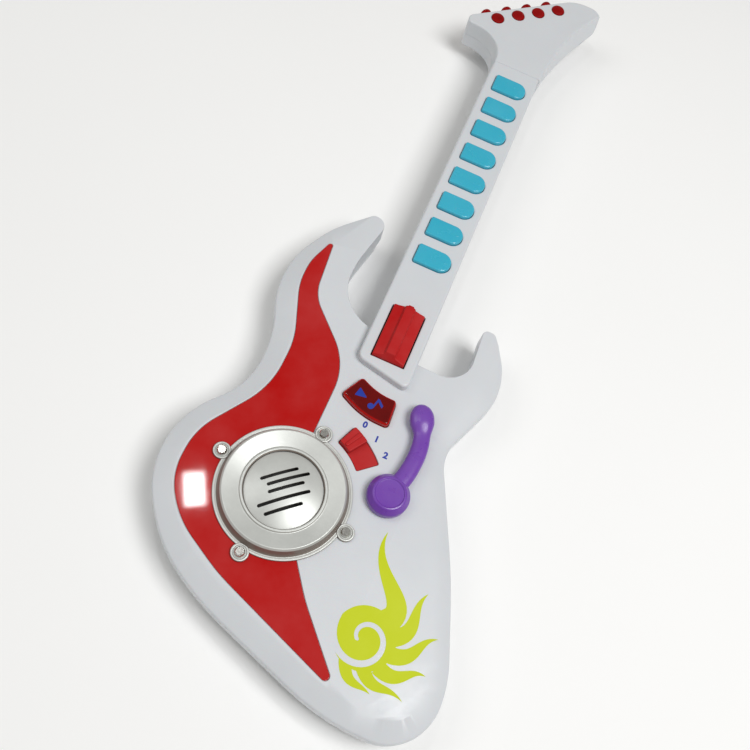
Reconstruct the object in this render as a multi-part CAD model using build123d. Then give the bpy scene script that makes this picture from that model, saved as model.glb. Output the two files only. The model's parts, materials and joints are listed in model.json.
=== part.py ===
from build123d import *
import os
from math import cos, radians, sin, sqrt

os.makedirs("parts", exist_ok=True)

# Toy electric guitar lying on its back, in millimetres.
# Drawing frame: x = 0 on the neck's centre line, y = 0 near the neck's root, z = 0 on the rear face.
# The written parts are moved so that the origin is the middle of the overall box, on the rear face.
MIDDLE_X = 1.75
MIDDLE_Y = 60.45

# Heights of the casing.
WALL = 2.5
PARTING_Z = 18.0
BEVEL_Z = 27.0
BODY_Z = 32.0
NECK_Z = 38.0
NECK_PARTING_Z = 25.0
NECK_REAR_Z = 12.5
BEVEL_WIDTH = 11.5
REAR_DRAW = 2.0
REAR_WALL = 4.0
LEAST_R = 0.3

# Neck and keys.
NECK_HALF = 18.5
SEAM_Y = 251.5
KEY_COUNT = 8
KEY_PITCH = 24.0
KEY_WIDTH = 15.0
KEY_LEFT = -12.0
KEY_RIGHT = 12.7
TOP_KEY_Y = 223.3
KEY_TOP_Z = 40.5
KEY_TRAVEL_GAP = 0.35

# Strum bar.
STRUM_HALF = 10.6
STRUM_LOW_Y = -20.5
STRUM_HIGH_Y = 19.0
STRUM_PIVOT_Z = 33.5
STRUM_PIN_R = 1.5
STRUM_SIDE_GAP = 0.8
STRUM_END_GAP = 0.4
EAR_THICK = 3.2

# Speaker, with the slider's window round it.
SPEAKER_X = -24.2
SPEAKER_Y = -122.6
FLANGE_R = 40.6
LUG_R = 5.3
LUG_PCR = 43.0
LUG_ANGLES = (-10, 80, 170, 260)
SPEAKER_OPENING_R = 24.5
SLOT_ANGLE = 41.0
SLIDER_IN_R = 46.0
SLIDER_OUT_R = 59.6
WINDOW_ANGLES = (42.0, 68.0)
GRIP_ANGLES = (56.2, 67.6)

# Whammy bar.
WHAMMY_X = 32.5
WHAMMY_Y = -100.0
WHAMMY_HUB_R = 13.0
WHAMMY_SHAFT_R = 5.0
WHAMMY_ARM_R = 35.1
WHAMMY_ARM_HALF = 5.5
WHAMMY_ARM_X = 5.6
WHAMMY_ARM_Y = -69.8

# Battery box, for three AA cells lying along x.
CELL_R = 7.15
CELL_LENGTH = 49.5
CELL_PITCH = 15.0
BOX_X = (4.0, 70.0)
BOX_Y = (-202.0, -148.0)
BOX_WALL = 1.6
BOX_TOP_Z = 19.5
DOOR_STUD_ROOM = 2.6

# Boards and screws.
BOARD_Z = 20.0
BOARD_THICK = 1.6
KEY_BOARD_Z = 25.0
SCREW_R = 1.4
SMALL_SCREW_R = 1.1
RUNNING_GAP = 0.06

# Outlines as corners of (x, y, corner radius).
BODY_CORNERS = [
    (-34.5, 93.0, 7.0), (-69.9, 61.5, 55.0), (-84.6, 30.0, 65.0), (-84.6, 0.4, 65.0), (-71.7, -30.6, 90.0),
    (-71.7, -68.3, 50.0), (-100.0, -100.7, 60.0), (-100.0, -141.7, 58.0), (-74.7, -177.8, 95.0),
    (-39.5, -197.4, 170.0), (45.5, -227.1, 150.0), (89.4, -227.1, 30.0), (103.5, -204.0, 34.0),
    (103.5, -182.0, 70.0), (85.5, -127.5, 300.0), (54.6, -58.0, 28.0), (73.4, -13.3, 50.0),
    (73.4, 9.4, 38.0), (57.2, 33.4, 4.5), (49.6, 33.4, 3.6), (51.4, -11.5, 17.6), (0.0, -10.0, 6.0),
    (-8.0, -0.5, 6.0), (-44.6, -0.5, 32.0), (-44.6, 42.0, 80.0),
]
# The bevel's own outline follows the outer edge and passes wide of the horn tips and the neck.
BEVEL_CORNERS = [(-50.0, 104.0, 20.0)] + BODY_CORNERS[2:17] + [(73.4, 104.0, 20.0)]
PANEL_CORNERS = [
    (-64.6, 51.8, 1.5), (-72.2, 27.7, 40.0), (-72.2, 9.7, 50.0), (-58.1, -29.4, 60.0), (-58.1, -65.6, 60.0),
    (-86.0, -109.4, 45.0), (-86.0, -139.8, 40.0), (-69.9, -161.5, 60.0), (-38.0, -179.7, 120.0),
    (47.1, -212.5, 2.5), (12.0, -174.1, 100.0), (-6.0, -149.0, 1.0), (-23.0, -105.0, 1.0),
    (-23.0, -31.0, 45.0), (-59.6, 5.6, 30.0),
]
NECK_CORNERS = [
    (-NECK_HALF, SEAM_Y, 0), (-NECK_HALF, -25.0, 6.0), (NECK_HALF, -33.0, 4.0), (NECK_HALF, SEAM_Y, 0),
]
HEAD_CORNERS = [
    (-NECK_HALF, 235.0, 0), (-19.0, 277.5, 24.0), (-50.0, 279.3, 4.0), (-50.8, 286.5, 6.0),
    (20.4, 348.0, 25.0), (48.8, 348.0, 10.0), (28.0, 295.0, 200.0), (NECK_HALF, 252.0, 120.0),
    (NECK_HALF, 235.0, 0),
]
HEAD_FRONT_LINE = [(22.8, 247.7), (28.6, 294.8), (51.3, 354.2)]
HEAD_REAR_LINE = [(26.5, 240.0), (20.6, 262.0), (29.0, 298.0), (50.5, 354.5)]
HEAD_FRONT_SLOPE = -0.354
HEAD_REAR_SLOPE = 0.6
EDGE_START = (-46.4, 290.3)
EDGE_ANGLE = 40.8
PEG_STEPS = (15.0, 32.9, 50.7, 68.5)
PEG_INSET = 7.7
EDGE_PEG_SHIFT = -2.7
EDGE_PEG_Z = 30.0
LENS_R = 5.15

BODY_SCREWS = [(-64, 45), (62, 4), (-60, -45), (54, -36), (-86, -125), (-40, -185), (88, -195), (68, -118)]
BOARD_SCREWS = [(-20, -38), (38, -62), (12, -112), (43, -112)]
TONGUE_SCREWS = [(-9, -17), (9, -17)]
NECK_SCREWS = [(-10.0, 46.0), (0, 146.8), (0, 244.5)]
HEAD_SCREWS = [(-38, 286.5), (25, 336), (6, 286)]


# ------------------------------------------------------------------ helpers
def rounded(corners):
    """Face inside a closed polygon whose corners are rounded."""
    points = [(x, y) for x, y, _ in corners]
    radii = [radius for _, _, radius in corners]
    return make_face(FilletPolyline(*points, radius=radii, close=True))


def block(face, low, high):
    """Face pulled up from one height to another."""
    return extrude(Pos(0, 0, low) * face, amount=high - low, dir=(0, 0, 1))


def grown(face, amount):
    """Face grown outwards, or shrunk when the amount is negative."""
    return offset(face, amount=amount, kind=Kind.ARC)


def inset(corners, distance):
    """Corners of the same outline moved inwards by a distance, each radius changed to match."""
    count = len(corners)
    points = [Vector(x, y) for x, y, _ in corners]
    winding = sum(points[i - 1].cross(points[i]).Z for i in range(count))
    side = 1 if winding > 0 else -1
    moved = []
    for i in range(count):
        into = (points[i] - points[i - 1]).normalized()
        out = (points[(i + 1) % count] - points[i]).normalized()
        normals = [Vector(-d.Y, d.X) * side for d in (into, out)]
        corner = points[i] + (normals[0] + normals[1]) * (distance / (1 + normals[0].dot(normals[1])))
        change = -distance if into.cross(out).Z * side > 0 else distance
        radius = corners[i][2]
        moved.append((corner.X, corner.Y, max(radius + change, LEAST_R) if radius else 0))
    return moved


def box(x0, x1, y0, y1, z0, z1):
    return Pos((x0 + x1) / 2, (y0 + y1) / 2, (z0 + z1) / 2) * Box(x1 - x0, y1 - y0, z1 - z0)


def post(x, y, radius, low, high):
    return Pos(x, y, (low + high) / 2) * Cylinder(radius, high - low)


def spun(profile, x=0.0, y=0.0):
    """Solid of revolution about a vertical axis from (radius, height) points."""
    outline = make_face(Polyline(*[(r, 0, z) for r, z in profile], close=True))
    return Pos(x, y, 0) * revolve(outline, Axis.Z)


def sector(inner, outer, start, end):
    """Part of a ring about the speaker's axis, between two angles in degrees."""
    middle = (start + end) / 2

    def at(radius, angle):
        return (radius * cos(radians(angle)), radius * sin(radians(angle)))

    edges = [
        ThreePointArc(at(outer, start), at(outer, middle), at(outer, end)),
        Line(at(outer, end), at(inner, end)),
        ThreePointArc(at(inner, end), at(inner, middle), at(inner, start)),
        Line(at(inner, start), at(outer, start)),
    ]
    return Pos(SPEAKER_X, SPEAKER_Y, 0) * make_face(edges)


def beside(line, slope, low, high, shift=0.0):
    """Slanted block to the right of a line drawn at the neck's parting height."""
    start = shift + slope * (low - NECK_PARTING_Z)
    corners = [(x + start, y) for x, y in line]
    face = make_face(Polyline(*corners, (120, line[-1][1]), (120, line[0][1]), close=True))
    return extrude(Pos(0, 0, low) * face, amount=(high - low) * sqrt(1 + slope**2), dir=(slope, 0, 1))


def top_rim(shape):
    """Edges round a shape's highest flat face."""
    return shape.faces().sort_by(Axis.Z)[-1].edges()


def lug_places():
    """Centres of the four lugs round the speaker bezel."""
    for angle in LUG_ANGLES:
        turn = radians(angle)
        yield SPEAKER_X + LUG_PCR * cos(turn), SPEAKER_Y + LUG_PCR * sin(turn)


def along_edge(step, outward):
    """Point on the headstock: a distance along its slanted edge, and one outwards from it."""
    turn = radians(EDGE_ANGLE)
    x = EDGE_START[0] + step * cos(turn) - outward * sin(turn)
    y = EDGE_START[1] + step * sin(turn) + outward * cos(turn)
    return x, y


def screw(x, y, radius, head_r, head_low, head_high, tip):
    """Pan-head screw driven upwards from the rear, with a cross slot in its head."""
    head = post(x, y, head_r, head_low, head_high)
    cross = box(x - head_r, x + head_r, y - 0.4, y + 0.4, head_low, head_low + 0.8)
    cross += box(x - 0.4, x + 0.4, y - head_r, y + head_r, head_low, head_low + 0.8)
    cross &= post(x, y, 0.7 * head_r, head_low, head_high)
    return head + post(x, y, radius, head_high, tip) - cross


def lead(points, radius, bend):
    """Round lead along straight runs joined by tangent arcs."""
    path = FilletPolyline(*points, radius=bend)
    section = Plane(origin=path @ 0, z_dir=path % 0) * Circle(radius)
    return sweep(section, path=path)


# ------------------------------------------------------------------ casing
body_plan = rounded(BODY_CORNERS)
neck_plan = rounded(NECK_CORNERS)
head_plan = rounded(HEAD_CORNERS)
panel_plan = rounded(PANEL_CORNERS)


def front_block(depth, low):
    """Body above the parting line: straight side wall, then the shallow bevel up to the flat face."""
    roof = BODY_Z - depth
    foot = BEVEL_Z - depth
    plan = rounded(inset(BODY_CORNERS, depth))
    wide = rounded(inset(BEVEL_CORNERS, depth))
    narrow = rounded(inset(BEVEL_CORNERS, depth + BEVEL_WIDTH))
    slope = loft([Pos(0, 0, foot) * wide, Pos(0, 0, roof) * narrow], ruled=True)
    return block(plan, low, roof) & (block(wide, low, foot) + slope)


def demo_plan():
    """Demo button's outline: two slanted ends, top and bottom bowed the same way."""
    top_left, top_right = (-9.6, -35.6), (15.6, -41.4)
    low_right, low_left = (16.6, -59.4), (-17.4, -51.0)
    edges = [
        ThreePointArc(top_left, (3.0, -40.0), top_right),
        Line(top_right, low_right),
        ThreePointArc(low_right, (-0.4, -57.3), low_left),
        Line(low_left, top_left),
    ]
    face = make_face(edges)
    return fillet(face.vertices(), 2.4)


def neck_socket():
    """Way through the body's front shell for the neck's tongue and the strum bar's works."""
    return box(-13, 13, -24.8, 6, PARTING_Z, BODY_Z + 1)


def body_front_shell():
    under = BODY_Z - WALL
    shell = front_block(0, PARTING_Z) - front_block(WALL, PARTING_Z - 1)
    for x, y in BODY_SCREWS:
        shell += post(x, y, 4.0, PARTING_Z, under + 0.5) & front_block(0.5, PARTING_Z)
    for x, y in BOARD_SCREWS:
        shell += post(x, y, 3.5, BOARD_Z + BOARD_THICK, under + 0.5)
    for x, y in lug_places():
        shell += post(x, y, 3.5, 24.0, under + 0.5)
    shell += post(WHAMMY_X, WHAMMY_Y, 8.0, 24.0, under + 0.5)
    shell -= neck_socket()
    shell -= post(SPEAKER_X, SPEAKER_Y, SPEAKER_OPENING_R, under - 1, BODY_Z + 1)
    shell -= block(grown(demo_plan(), KEY_TRAVEL_GAP), under - 1, BODY_Z + 1)
    shell -= block(sector(SLIDER_IN_R, SLIDER_OUT_R, *WINDOW_ANGLES), under, BODY_Z + 1)
    shell -= block(sector(44.2, 61.5, 25.0, 85.5), under - 0.5, 30.8)
    shell -= post(WHAMMY_X, WHAMMY_Y, WHAMMY_SHAFT_R + RUNNING_GAP, 23, BODY_Z + 1)
    shell -= block(rounded(inset(PANEL_CORNERS, -0.3)), BODY_Z - 1.0, BODY_Z + 1)
    for x, y in BODY_SCREWS:
        shell -= post(x, y, SCREW_R, PARTING_Z - 1, 27)
    for x, y in BOARD_SCREWS:
        shell -= post(x, y, SMALL_SCREW_R, BOARD_Z, 28)
    for x, y in lug_places():
        shell -= post(x, y, SCREW_R, 25, BODY_Z + 1)
    return shell


def body_rear_shell():
    rear_plan = rounded(inset(BODY_CORNERS, REAR_DRAW))
    outer = loft([rear_plan, Pos(0, 0, PARTING_Z) * body_plan], ruled=True)
    shell = outer - block(rounded(inset(BODY_CORNERS, REAR_WALL)), WALL, PARTING_Z + 1)
    for x, y in BODY_SCREWS:
        shell += post(x, y, 4.0, 0, PARTING_Z) & outer
    for x, y in TONGUE_SCREWS:
        shell += post(x, y, 4.0, 0, 19.0)
    for x, y in BODY_SCREWS + TONGUE_SCREWS:
        shell -= post(x, y, 3.1, -1, 6.0)
        shell -= post(x, y, SCREW_R + 0.15, 5, 20)
    shell -= box(BOX_X[0] + BOX_WALL, BOX_X[1] - BOX_WALL, BOX_Y[0] + BOX_WALL, BOX_Y[1] - BOX_WALL, -1, 3)
    return shell


def neck_zone():
    """Space that the body takes up, kept clear by the neck's two shells."""
    return block(rounded(inset(BODY_CORNERS, -0.2)), -1, BODY_Z)


def key_plan(index, grow=0.0):
    """D-shaped outline of one key, square at its left end."""
    low = TOP_KEY_Y - index * KEY_PITCH
    high = low + KEY_WIDTH
    left, right = (KEY_LEFT, 1.5), (KEY_RIGHT, 7.2)
    corners = [(x, y, radius) for (x, radius), y in ((left, low), (right, low), (right, high), (left, high))]
    outline = rounded(corners)
    return grown(outline, grow) if grow else outline


def neck_front_shell():
    roof = NECK_Z - WALL
    outer = block(neck_plan, NECK_PARTING_Z, NECK_Z)
    rim = outer.edges().filter_by_position(Axis.Z, NECK_Z, NECK_Z)
    rim = rim.filter_by(lambda edge: abs(edge.center().Y - SEAM_Y) > 1.0)
    cavity = block(rounded(inset(NECK_CORNERS, WALL)), NECK_PARTING_Z - 1, roof)
    shell = fillet(rim, 1.8) - cavity - neck_zone()
    for low in (STRUM_LOW_Y - 0.7 - EAR_THICK, STRUM_HIGH_Y + 0.7):
        shell += box(-8, 8, low, low + EAR_THICK, KEY_BOARD_Z + 0.6, roof + 0.5)
    for x, y in NECK_SCREWS:
        shell += post(x, y, 2.8, NECK_PARTING_Z, roof + 0.5)
        shell -= post(x, y, SMALL_SCREW_R, NECK_PARTING_Z - 1, 33)
    for index in range(KEY_COUNT):
        shell -= block(key_plan(index, KEY_TRAVEL_GAP), roof - 1, NECK_Z + 1)
    reach = STRUM_HALF + STRUM_SIDE_GAP
    low, high = STRUM_LOW_Y - STRUM_END_GAP, STRUM_HIGH_Y + STRUM_END_GAP
    shell -= box(-reach, reach, low, high, roof - 1, NECK_Z + 1)
    shell -= strum_pin()
    for x, y in strum_board_screws():
        shell -= post(x, y, SMALL_SCREW_R, 24, 31)
    return shell


def neck_and_head():
    """Plan of the neck's rear shell, which runs on into the headstock."""
    return neck_plan + head_plan


def neck_rear_shell():
    plan = neck_and_head()
    outer = block(plan, NECK_REAR_Z, NECK_PARTING_Z) - neck_zone()
    rim = outer.edges().filter_by_position(Axis.Z, NECK_REAR_Z, NECK_REAR_Z)
    rim = rim.filter_by(lambda edge: edge.center().Y > 12.0)
    outer = fillet(rim, 3.0)
    outer -= beside(HEAD_REAR_LINE, HEAD_REAR_SLOPE, 10, NECK_PARTING_Z)
    inner = block(grown(plan, -WALL), NECK_REAR_Z + WALL, NECK_PARTING_Z + 1) - box(-30, 30, -40, 8, 0, 40)
    inner -= beside(HEAD_REAR_LINE, HEAD_REAR_SLOPE, 10, NECK_PARTING_Z + 2, -1.2 * WALL)
    shell = outer - inner
    shell -= box(-13.2, 13.2, -12, 8.1, 22, NECK_PARTING_Z + 1)
    shell += box(-12.5, 12.5, -24.4, 8, 19, 22)
    for x, y in NECK_SCREWS + HEAD_SCREWS:
        shell += post(x, y, 3.6, NECK_REAR_Z + 1, NECK_PARTING_Z)
        shell -= post(x, y, 2.7, NECK_REAR_Z - 1, 16.5)
        shell -= post(x, y, SMALL_SCREW_R + 0.15, 15, NECK_PARTING_Z + 1)
    for x, y in TONGUE_SCREWS:
        shell -= post(x, y, SCREW_R + 0.15, 18, 23)
    return shell


def headstock_cover():
    above_seam = box(-90, 90, SEAM_Y + 0.1, 400, 0, 60)
    outer = block(head_plan, NECK_PARTING_Z, NECK_Z) & above_seam
    rim = outer.edges().filter_by_position(Axis.Z, NECK_Z, NECK_Z)
    rim = rim.filter_by(lambda edge: edge.center().Y > SEAM_Y + 2.0)
    shell = fillet(rim, 1.2) - beside(HEAD_FRONT_LINE, HEAD_FRONT_SLOPE, NECK_PARTING_Z, NECK_Z + 2)
    cavity = block(rounded(inset(HEAD_CORNERS, WALL)), NECK_PARTING_Z - 1, NECK_Z - WALL)
    cavity &= box(-90, 90, SEAM_Y + WALL, 400, 0, 60)
    cavity -= beside(HEAD_FRONT_LINE, HEAD_FRONT_SLOPE, NECK_PARTING_Z - 2, NECK_Z + 2, -1.1 * WALL)
    shell -= cavity
    for x, y in HEAD_SCREWS:
        shell += post(x, y, 2.8, NECK_PARTING_Z, NECK_Z - WALL + 0.5)
        shell -= post(x, y, SMALL_SCREW_R, NECK_PARTING_Z - 1, 33)
    for step in PEG_STEPS:
        x, y = along_edge(step, -PEG_INSET)
        shell -= post(x, y, LENS_R + 0.1, 30, NECK_Z + 1)
        shell -= edge_peg_shank(step, 0.05)
    return shell


def red_panel():
    plan = panel_plan - Pos(SPEAKER_X, SPEAKER_Y, 0) * Circle(FLANGE_R - 2)
    panel = block(plan, BODY_Z - 1.0, BODY_Z)
    for x, y in lug_places():
        panel -= post(x, y, SCREW_R + 0.2, BODY_Z - 2, BODY_Z + 1)
    return panel


# ------------------------------------------------------------------ decal
def tongue(x, y, heading, length, width, bend):
    """Curved flame tongue: two arcs from a wide root that meet in a point."""
    along = Vector(cos(radians(heading)), sin(radians(heading)))
    across = Vector(-along.Y, along.X)
    root = Vector(x, y)
    left, right = root + across * width, root - across * width
    tip = root + along * length + across * bend
    middle = root + along * (0.5 * length)
    edges = [
        ThreePointArc(left, middle + across * (0.6 * width - 0.1 * bend), tip),
        ThreePointArc(tip, middle + across * (-0.75 * width - 0.1 * bend), right),
        Line(right, left),
    ]
    return make_face(edges)


def flame_decal():
    """Swirl with a curled middle and five flame tongues, a thin sticker on the body's face."""
    disc = Pos(53.3, -178.0, 0) * Circle(20.7)
    curl = Pos(56.6, -174.6, 0) * (Circle(12.3) - Circle(7.3) - Pos(9, -6.7, 0) * Rectangle(13.4, 10))
    tongues = [
        (49.9, -163.4, 118, 48.2, 7.8, -4.5), (61.1, -165.7, 42, 29.1, 7.3, -10.1),
        (67.8, -175.8, 8, 20.2, 7.3, -9.0), (63.4, -188.1, -42, 16.8, 6.7, -9.0),
        (45.4, -192.6, -108, 10.1, 6.7, -11.2),
    ]
    shape = disc - curl
    for x, y, heading, length, width, bend in tongues:
        shape += tongue(x, y, heading, length, width, bend)
    return block(shape, BODY_Z, BODY_Z + 0.15)


# ------------------------------------------------------------------ speaker
def speaker_bezel():
    ring = [
        (36.4, BODY_Z), (FLANGE_R, BODY_Z), (FLANGE_R, BODY_Z + 1), (38.2, BODY_Z + 1), (36.2, BODY_Z + 6.6),
        (35.4, BODY_Z + 7.4), (34.4, BODY_Z + 7.4), (25.0, BODY_Z + 5.2), (24.6, BODY_Z + 5.7),
        (23.6, BODY_Z + 5.7), (23.2, BODY_Z + 4.6), (24.2, BODY_Z + 3.6), (34.0, BODY_Z + 5.9),
    ]
    bezel = spun(ring, SPEAKER_X, SPEAKER_Y)
    keep_out = post(SPEAKER_X, SPEAKER_Y, FLANGE_R - 1, BODY_Z - 1, BODY_Z + 3)
    for x, y in lug_places():
        bezel += post(x, y, LUG_R, BODY_Z, BODY_Z + 1.6) - keep_out
    for x, y in lug_places():
        bezel -= post(x, y, SCREW_R, BODY_Z - 1, BODY_Z + 3)
    return bezel


def dome(radius, rim_z, crown_z, thick):
    """Thin dome over the given radius, between a rim height and a crown height."""
    rise = crown_z - rim_z
    sphere = (radius * radius + rise * rise) / (2 * rise)
    ball = Pos(0, 0, crown_z - sphere) * (Sphere(sphere) - Sphere(sphere - thick))
    return ball & post(0, 0, radius, rim_z - thick, crown_z + 1)


def speaker_grille():
    shell = dome(23.1, BODY_Z + 3.9, BODY_Z + 8.2, 1.4)
    slots = [(-6.0, 7.0, 23), (0.0, 6.2, 26), (0.9, 1.0, 22), (2.4, -5.4, 31.6), (4.6, -11.0, 23)]
    for x, y, length in slots:
        slot = extrude(SlotOverall(length, 2.0), 8, both=True)
        shell -= Pos(x, y, BODY_Z + 6) * Rot(0, 0, SLOT_ANGLE) * slot
    return Pos(SPEAKER_X, SPEAKER_Y, 0) * shell


def bezel_screws():
    """Domed screws that hold the bezel through its lugs."""
    heads = []
    for x, y in lug_places():
        head = Pos(x, y, BODY_Z + 1.6) * (Sphere(3.25) & Pos(0, 0, 1.1) * Box(8, 8, 2.2))
        heads.append(head + post(x, y, SCREW_R, 25.5, BODY_Z + 1.6))
    return heads


def speaker_basket():
    under = BODY_Z - WALL
    profile = [
        (26.5, under), (26.5, under - 1.2), (24.4, under - 1.2), (15.5, 20.0), (15.0, 20.0), (15.0, 21.0),
        (23.6, under - 0.6), (23.6, under),
    ]
    return spun(profile, SPEAKER_X, SPEAKER_Y)


def speaker_cone():
    profile = [
        (23.4, 29.3), (23.4, 28.8), (9.0, 22.2), (9.0, 21.4), (0, 21.4), (0, 23.6), (5, 23.0), (8.6, 22.9),
    ]
    return spun(profile, SPEAKER_X, SPEAKER_Y)


def speaker_magnet():
    return post(SPEAKER_X, SPEAKER_Y, 16.0, 10.0, 16.0) + post(SPEAKER_X, SPEAKER_Y, 15.0, 16.0, 20.0)


def speaker_clamps():
    """Two screws whose washers hold the speaker's flange against the body shell."""
    under = BODY_Z - WALL
    clamps = []
    for turn in (20.0, 200.0):
        x = SPEAKER_X + 28.5 * cos(radians(turn))
        y = SPEAKER_Y + 28.5 * sin(radians(turn))
        clamps.append(post(x, y, 3.6, under - 2.2, under - 1.2) + post(x, y, 1.9, under - 3.6, under - 2.2))
    return clamps


# ------------------------------------------------------------------ headstock fittings
def face_lenses():
    """Translucent domes on the headstock's face, flanged from inside."""
    lenses = []
    room = block(rounded(inset(HEAD_CORNERS, WALL + 0.1)), 34, NECK_Z - WALL)
    for step in PEG_STEPS:
        x, y = along_edge(step, -PEG_INSET)
        ball = Pos(0, 0, NECK_Z - 8.76) * Sphere(10.46)
        crown = ball & post(0, 0, LENS_R - 0.1, NECK_Z + 0.4, NECK_Z + 4)
        stem = post(0, 0, LENS_R - 0.1, 34.3, NECK_Z + 0.4)
        flange = post(0, 0, LENS_R + 1.1, 34.3, NECK_Z - WALL)
        lens = Pos(x, y, 0) * (crown + stem) + (Pos(x, y, 0) * flange & room)
        lenses.append(lens - post(x, y, 3.4, 33, NECK_Z + 0.2))
    return lenses


def edge_peg_shank(step, gap=0.0):
    """Shank of a tuning knob, in the wall of the slanted edge."""
    x, y = along_edge(step + EDGE_PEG_SHIFT, -4.0)
    place = Pos(x, y, EDGE_PEG_Z) * Rot(0, 0, EDGE_ANGLE) * Rot(-90, 0, 0)
    return place * Pos(0, 0, 2.0) * Cylinder(2.2 + gap, 4.2)


def edge_pegs():
    """Tuning knobs on the slanted edge: a short barrel with a rounded end."""
    knobs = []
    for step in PEG_STEPS:
        x, y = along_edge(step + EDGE_PEG_SHIFT, 0.1)
        place = Pos(x, y, EDGE_PEG_Z) * Rot(0, 0, EDGE_ANGLE) * Rot(-90, 0, 0)
        barrel = Pos(0, 0, 2.1) * Cylinder(4.5, 4.2) + Pos(0, 0, 4.2) * Sphere(4.5)
        barrel &= Pos(0, 0, 6.0) * Box(12, 12, 12)
        knobs.append(place * barrel + edge_peg_shank(step))
    return knobs


def lamp_board():
    start = along_edge(PEG_STEPS[0] - 8, -PEG_INSET)
    end = along_edge(PEG_STEPS[-1] + 8, -PEG_INSET)
    middle = Pos((start[0] + end[0]) / 2, (start[1] + end[1]) / 2, 26.8)
    return middle * Rot(0, 0, EDGE_ANGLE) * Box(PEG_STEPS[-1] - PEG_STEPS[0] + 16, 9, BOARD_THICK)


def lamps():
    bulbs = []
    for step in PEG_STEPS:
        x, y = along_edge(step, -PEG_INSET)
        bulbs.append(post(x, y, 2.9, 27.6, 28.8) + post(x, y, 2.5, 28.8, 32) + Pos(x, y, 32) * Sphere(2.5))
    return bulbs


# ------------------------------------------------------------------ keys
def key(index):
    plan = key_plan(index)
    middle = TOP_KEY_Y - index * KEY_PITCH + KEY_WIDTH / 2
    cap = block(plan, 34.0, KEY_TOP_Z)
    cap = fillet(top_rim(cap), 1.2)
    flange = block(key_plan(index, 1.2), 34.0, 35.2)
    return cap + flange + box(-3, 3, middle - 3, middle + 3, 31.5, 34.0)


def key_board():
    board = box(-13, 13, 52, 241, KEY_BOARD_Z, KEY_BOARD_Z + BOARD_THICK)
    return board - post(NECK_SCREWS[1][0], NECK_SCREWS[1][1], 3.2, 20, 30)


def key_membrane():
    low = KEY_BOARD_Z + BOARD_THICK
    sheet = box(-12, 12, 54, 239.5, low, low + 1.0) - post(NECK_SCREWS[1][0], NECK_SCREWS[1][1], 3.2, 20, 30)
    for index in range(KEY_COUNT):
        middle = TOP_KEY_Y - index * KEY_PITCH + KEY_WIDTH / 2
        sheet += Pos(0, middle, low + 1.8) * Cone(5.0, 3.2, 1.6)
    return sheet


# ------------------------------------------------------------------ strum bar
def strum_pin():
    length = STRUM_HIGH_Y - STRUM_LOW_Y + 1.4 + 2 * EAR_THICK
    middle = (STRUM_HIGH_Y + STRUM_LOW_Y) / 2
    return Pos(0, middle, STRUM_PIVOT_Z) * Rot(90, 0, 0) * Cylinder(STRUM_PIN_R, length)


def strum_board_screws():
    """Places of the four screws that hold the strum board under the pin's ears."""
    low = STRUM_LOW_Y - 0.7 - EAR_THICK / 2
    high = STRUM_HIGH_Y + 0.7 + EAR_THICK / 2
    return [(x, y) for x in (-5, 5) for y in (low, high)]


def strum_bar():
    edge_z, flank_z, ridge_z = NECK_Z + 1.8, NECK_Z + 5.2, NECK_Z + 6.6
    side = [
        Line((-STRUM_HALF, 35.0), (-STRUM_HALF, edge_z)),
        ThreePointArc((-STRUM_HALF, edge_z), (-6.2, edge_z + 0.9), (-2.3, flank_z)),
        Line((-2.3, flank_z), (-1.8, ridge_z)),
        Line((-1.8, ridge_z), (1.8, ridge_z)),
        Line((1.8, ridge_z), (2.3, flank_z)),
        ThreePointArc((2.3, flank_z), (6.2, edge_z + 0.9), (STRUM_HALF, edge_z)),
        Line((STRUM_HALF, edge_z), (STRUM_HALF, 35.0)),
        Line((STRUM_HALF, 35.0), (-STRUM_HALF, 35.0)),
    ]
    length = STRUM_HIGH_Y - STRUM_LOW_Y
    profile = Plane.XZ.offset(-STRUM_LOW_Y) * make_face(side)
    bar = extrude(profile, amount=length, dir=(0, 1, 0))
    ramp = Pos(0, STRUM_LOW_Y, NECK_Z + 1.4) * Rot(50, 0, 0) * Pos(0, 0, 6) * Box(40, 30, 12)
    bar -= ramp
    bar += box(-1.8, 1.8, STRUM_HIGH_Y - 2, STRUM_HIGH_Y + 3.2, NECK_Z + 2.0, ridge_z)
    bar += box(-3.5, 3.5, STRUM_LOW_Y + 1.2, STRUM_HIGH_Y - 1.2, 31.0, 35.5)
    bore = Pos(0, 0, STRUM_PIVOT_Z) * Rot(90, 0, 0) * Cylinder(STRUM_PIN_R + RUNNING_GAP, 80)
    return bar - bore


def strum_board():
    low = STRUM_LOW_Y - 0.7 - EAR_THICK
    high = STRUM_HIGH_Y + 0.7 + EAR_THICK
    board = box(-12, 12, low, high, 24.0, KEY_BOARD_Z + 0.6)
    for x, y in strum_board_screws():
        board -= post(x, y, SMALL_SCREW_R, 20, 30)
    return board


def strum_switches():
    """Two rubber domes under the bar's wings."""
    middle = (STRUM_HIGH_Y + STRUM_LOW_Y) / 2
    return [post(x, middle, 3.0, KEY_BOARD_Z + 0.6, 33.6) for x in (-8, 8)]


def strum_board_fixings():
    return [screw(x, y, SMALL_SCREW_R, 2.0, 22.6, 24.0, 30.5) for x, y in strum_board_screws()]


# ------------------------------------------------------------------ demo button and slider
def demo_button():
    plan = demo_plan()
    cap = block(plan, 27.9, BODY_Z + 3.8)
    cap = fillet(top_rim(cap), 2.0)
    return cap + block(grown(plan, 1.3), 27.9, 29.2) + box(-4, 2, -50, -44, 27.4, 28.0)


def demo_switch():
    low = BOARD_Z + BOARD_THICK
    return box(-7, 5, -53, -41, low, low + 3.2) + post(-1, -47, 1.75, low + 3.2, low + 4.1)


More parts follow.
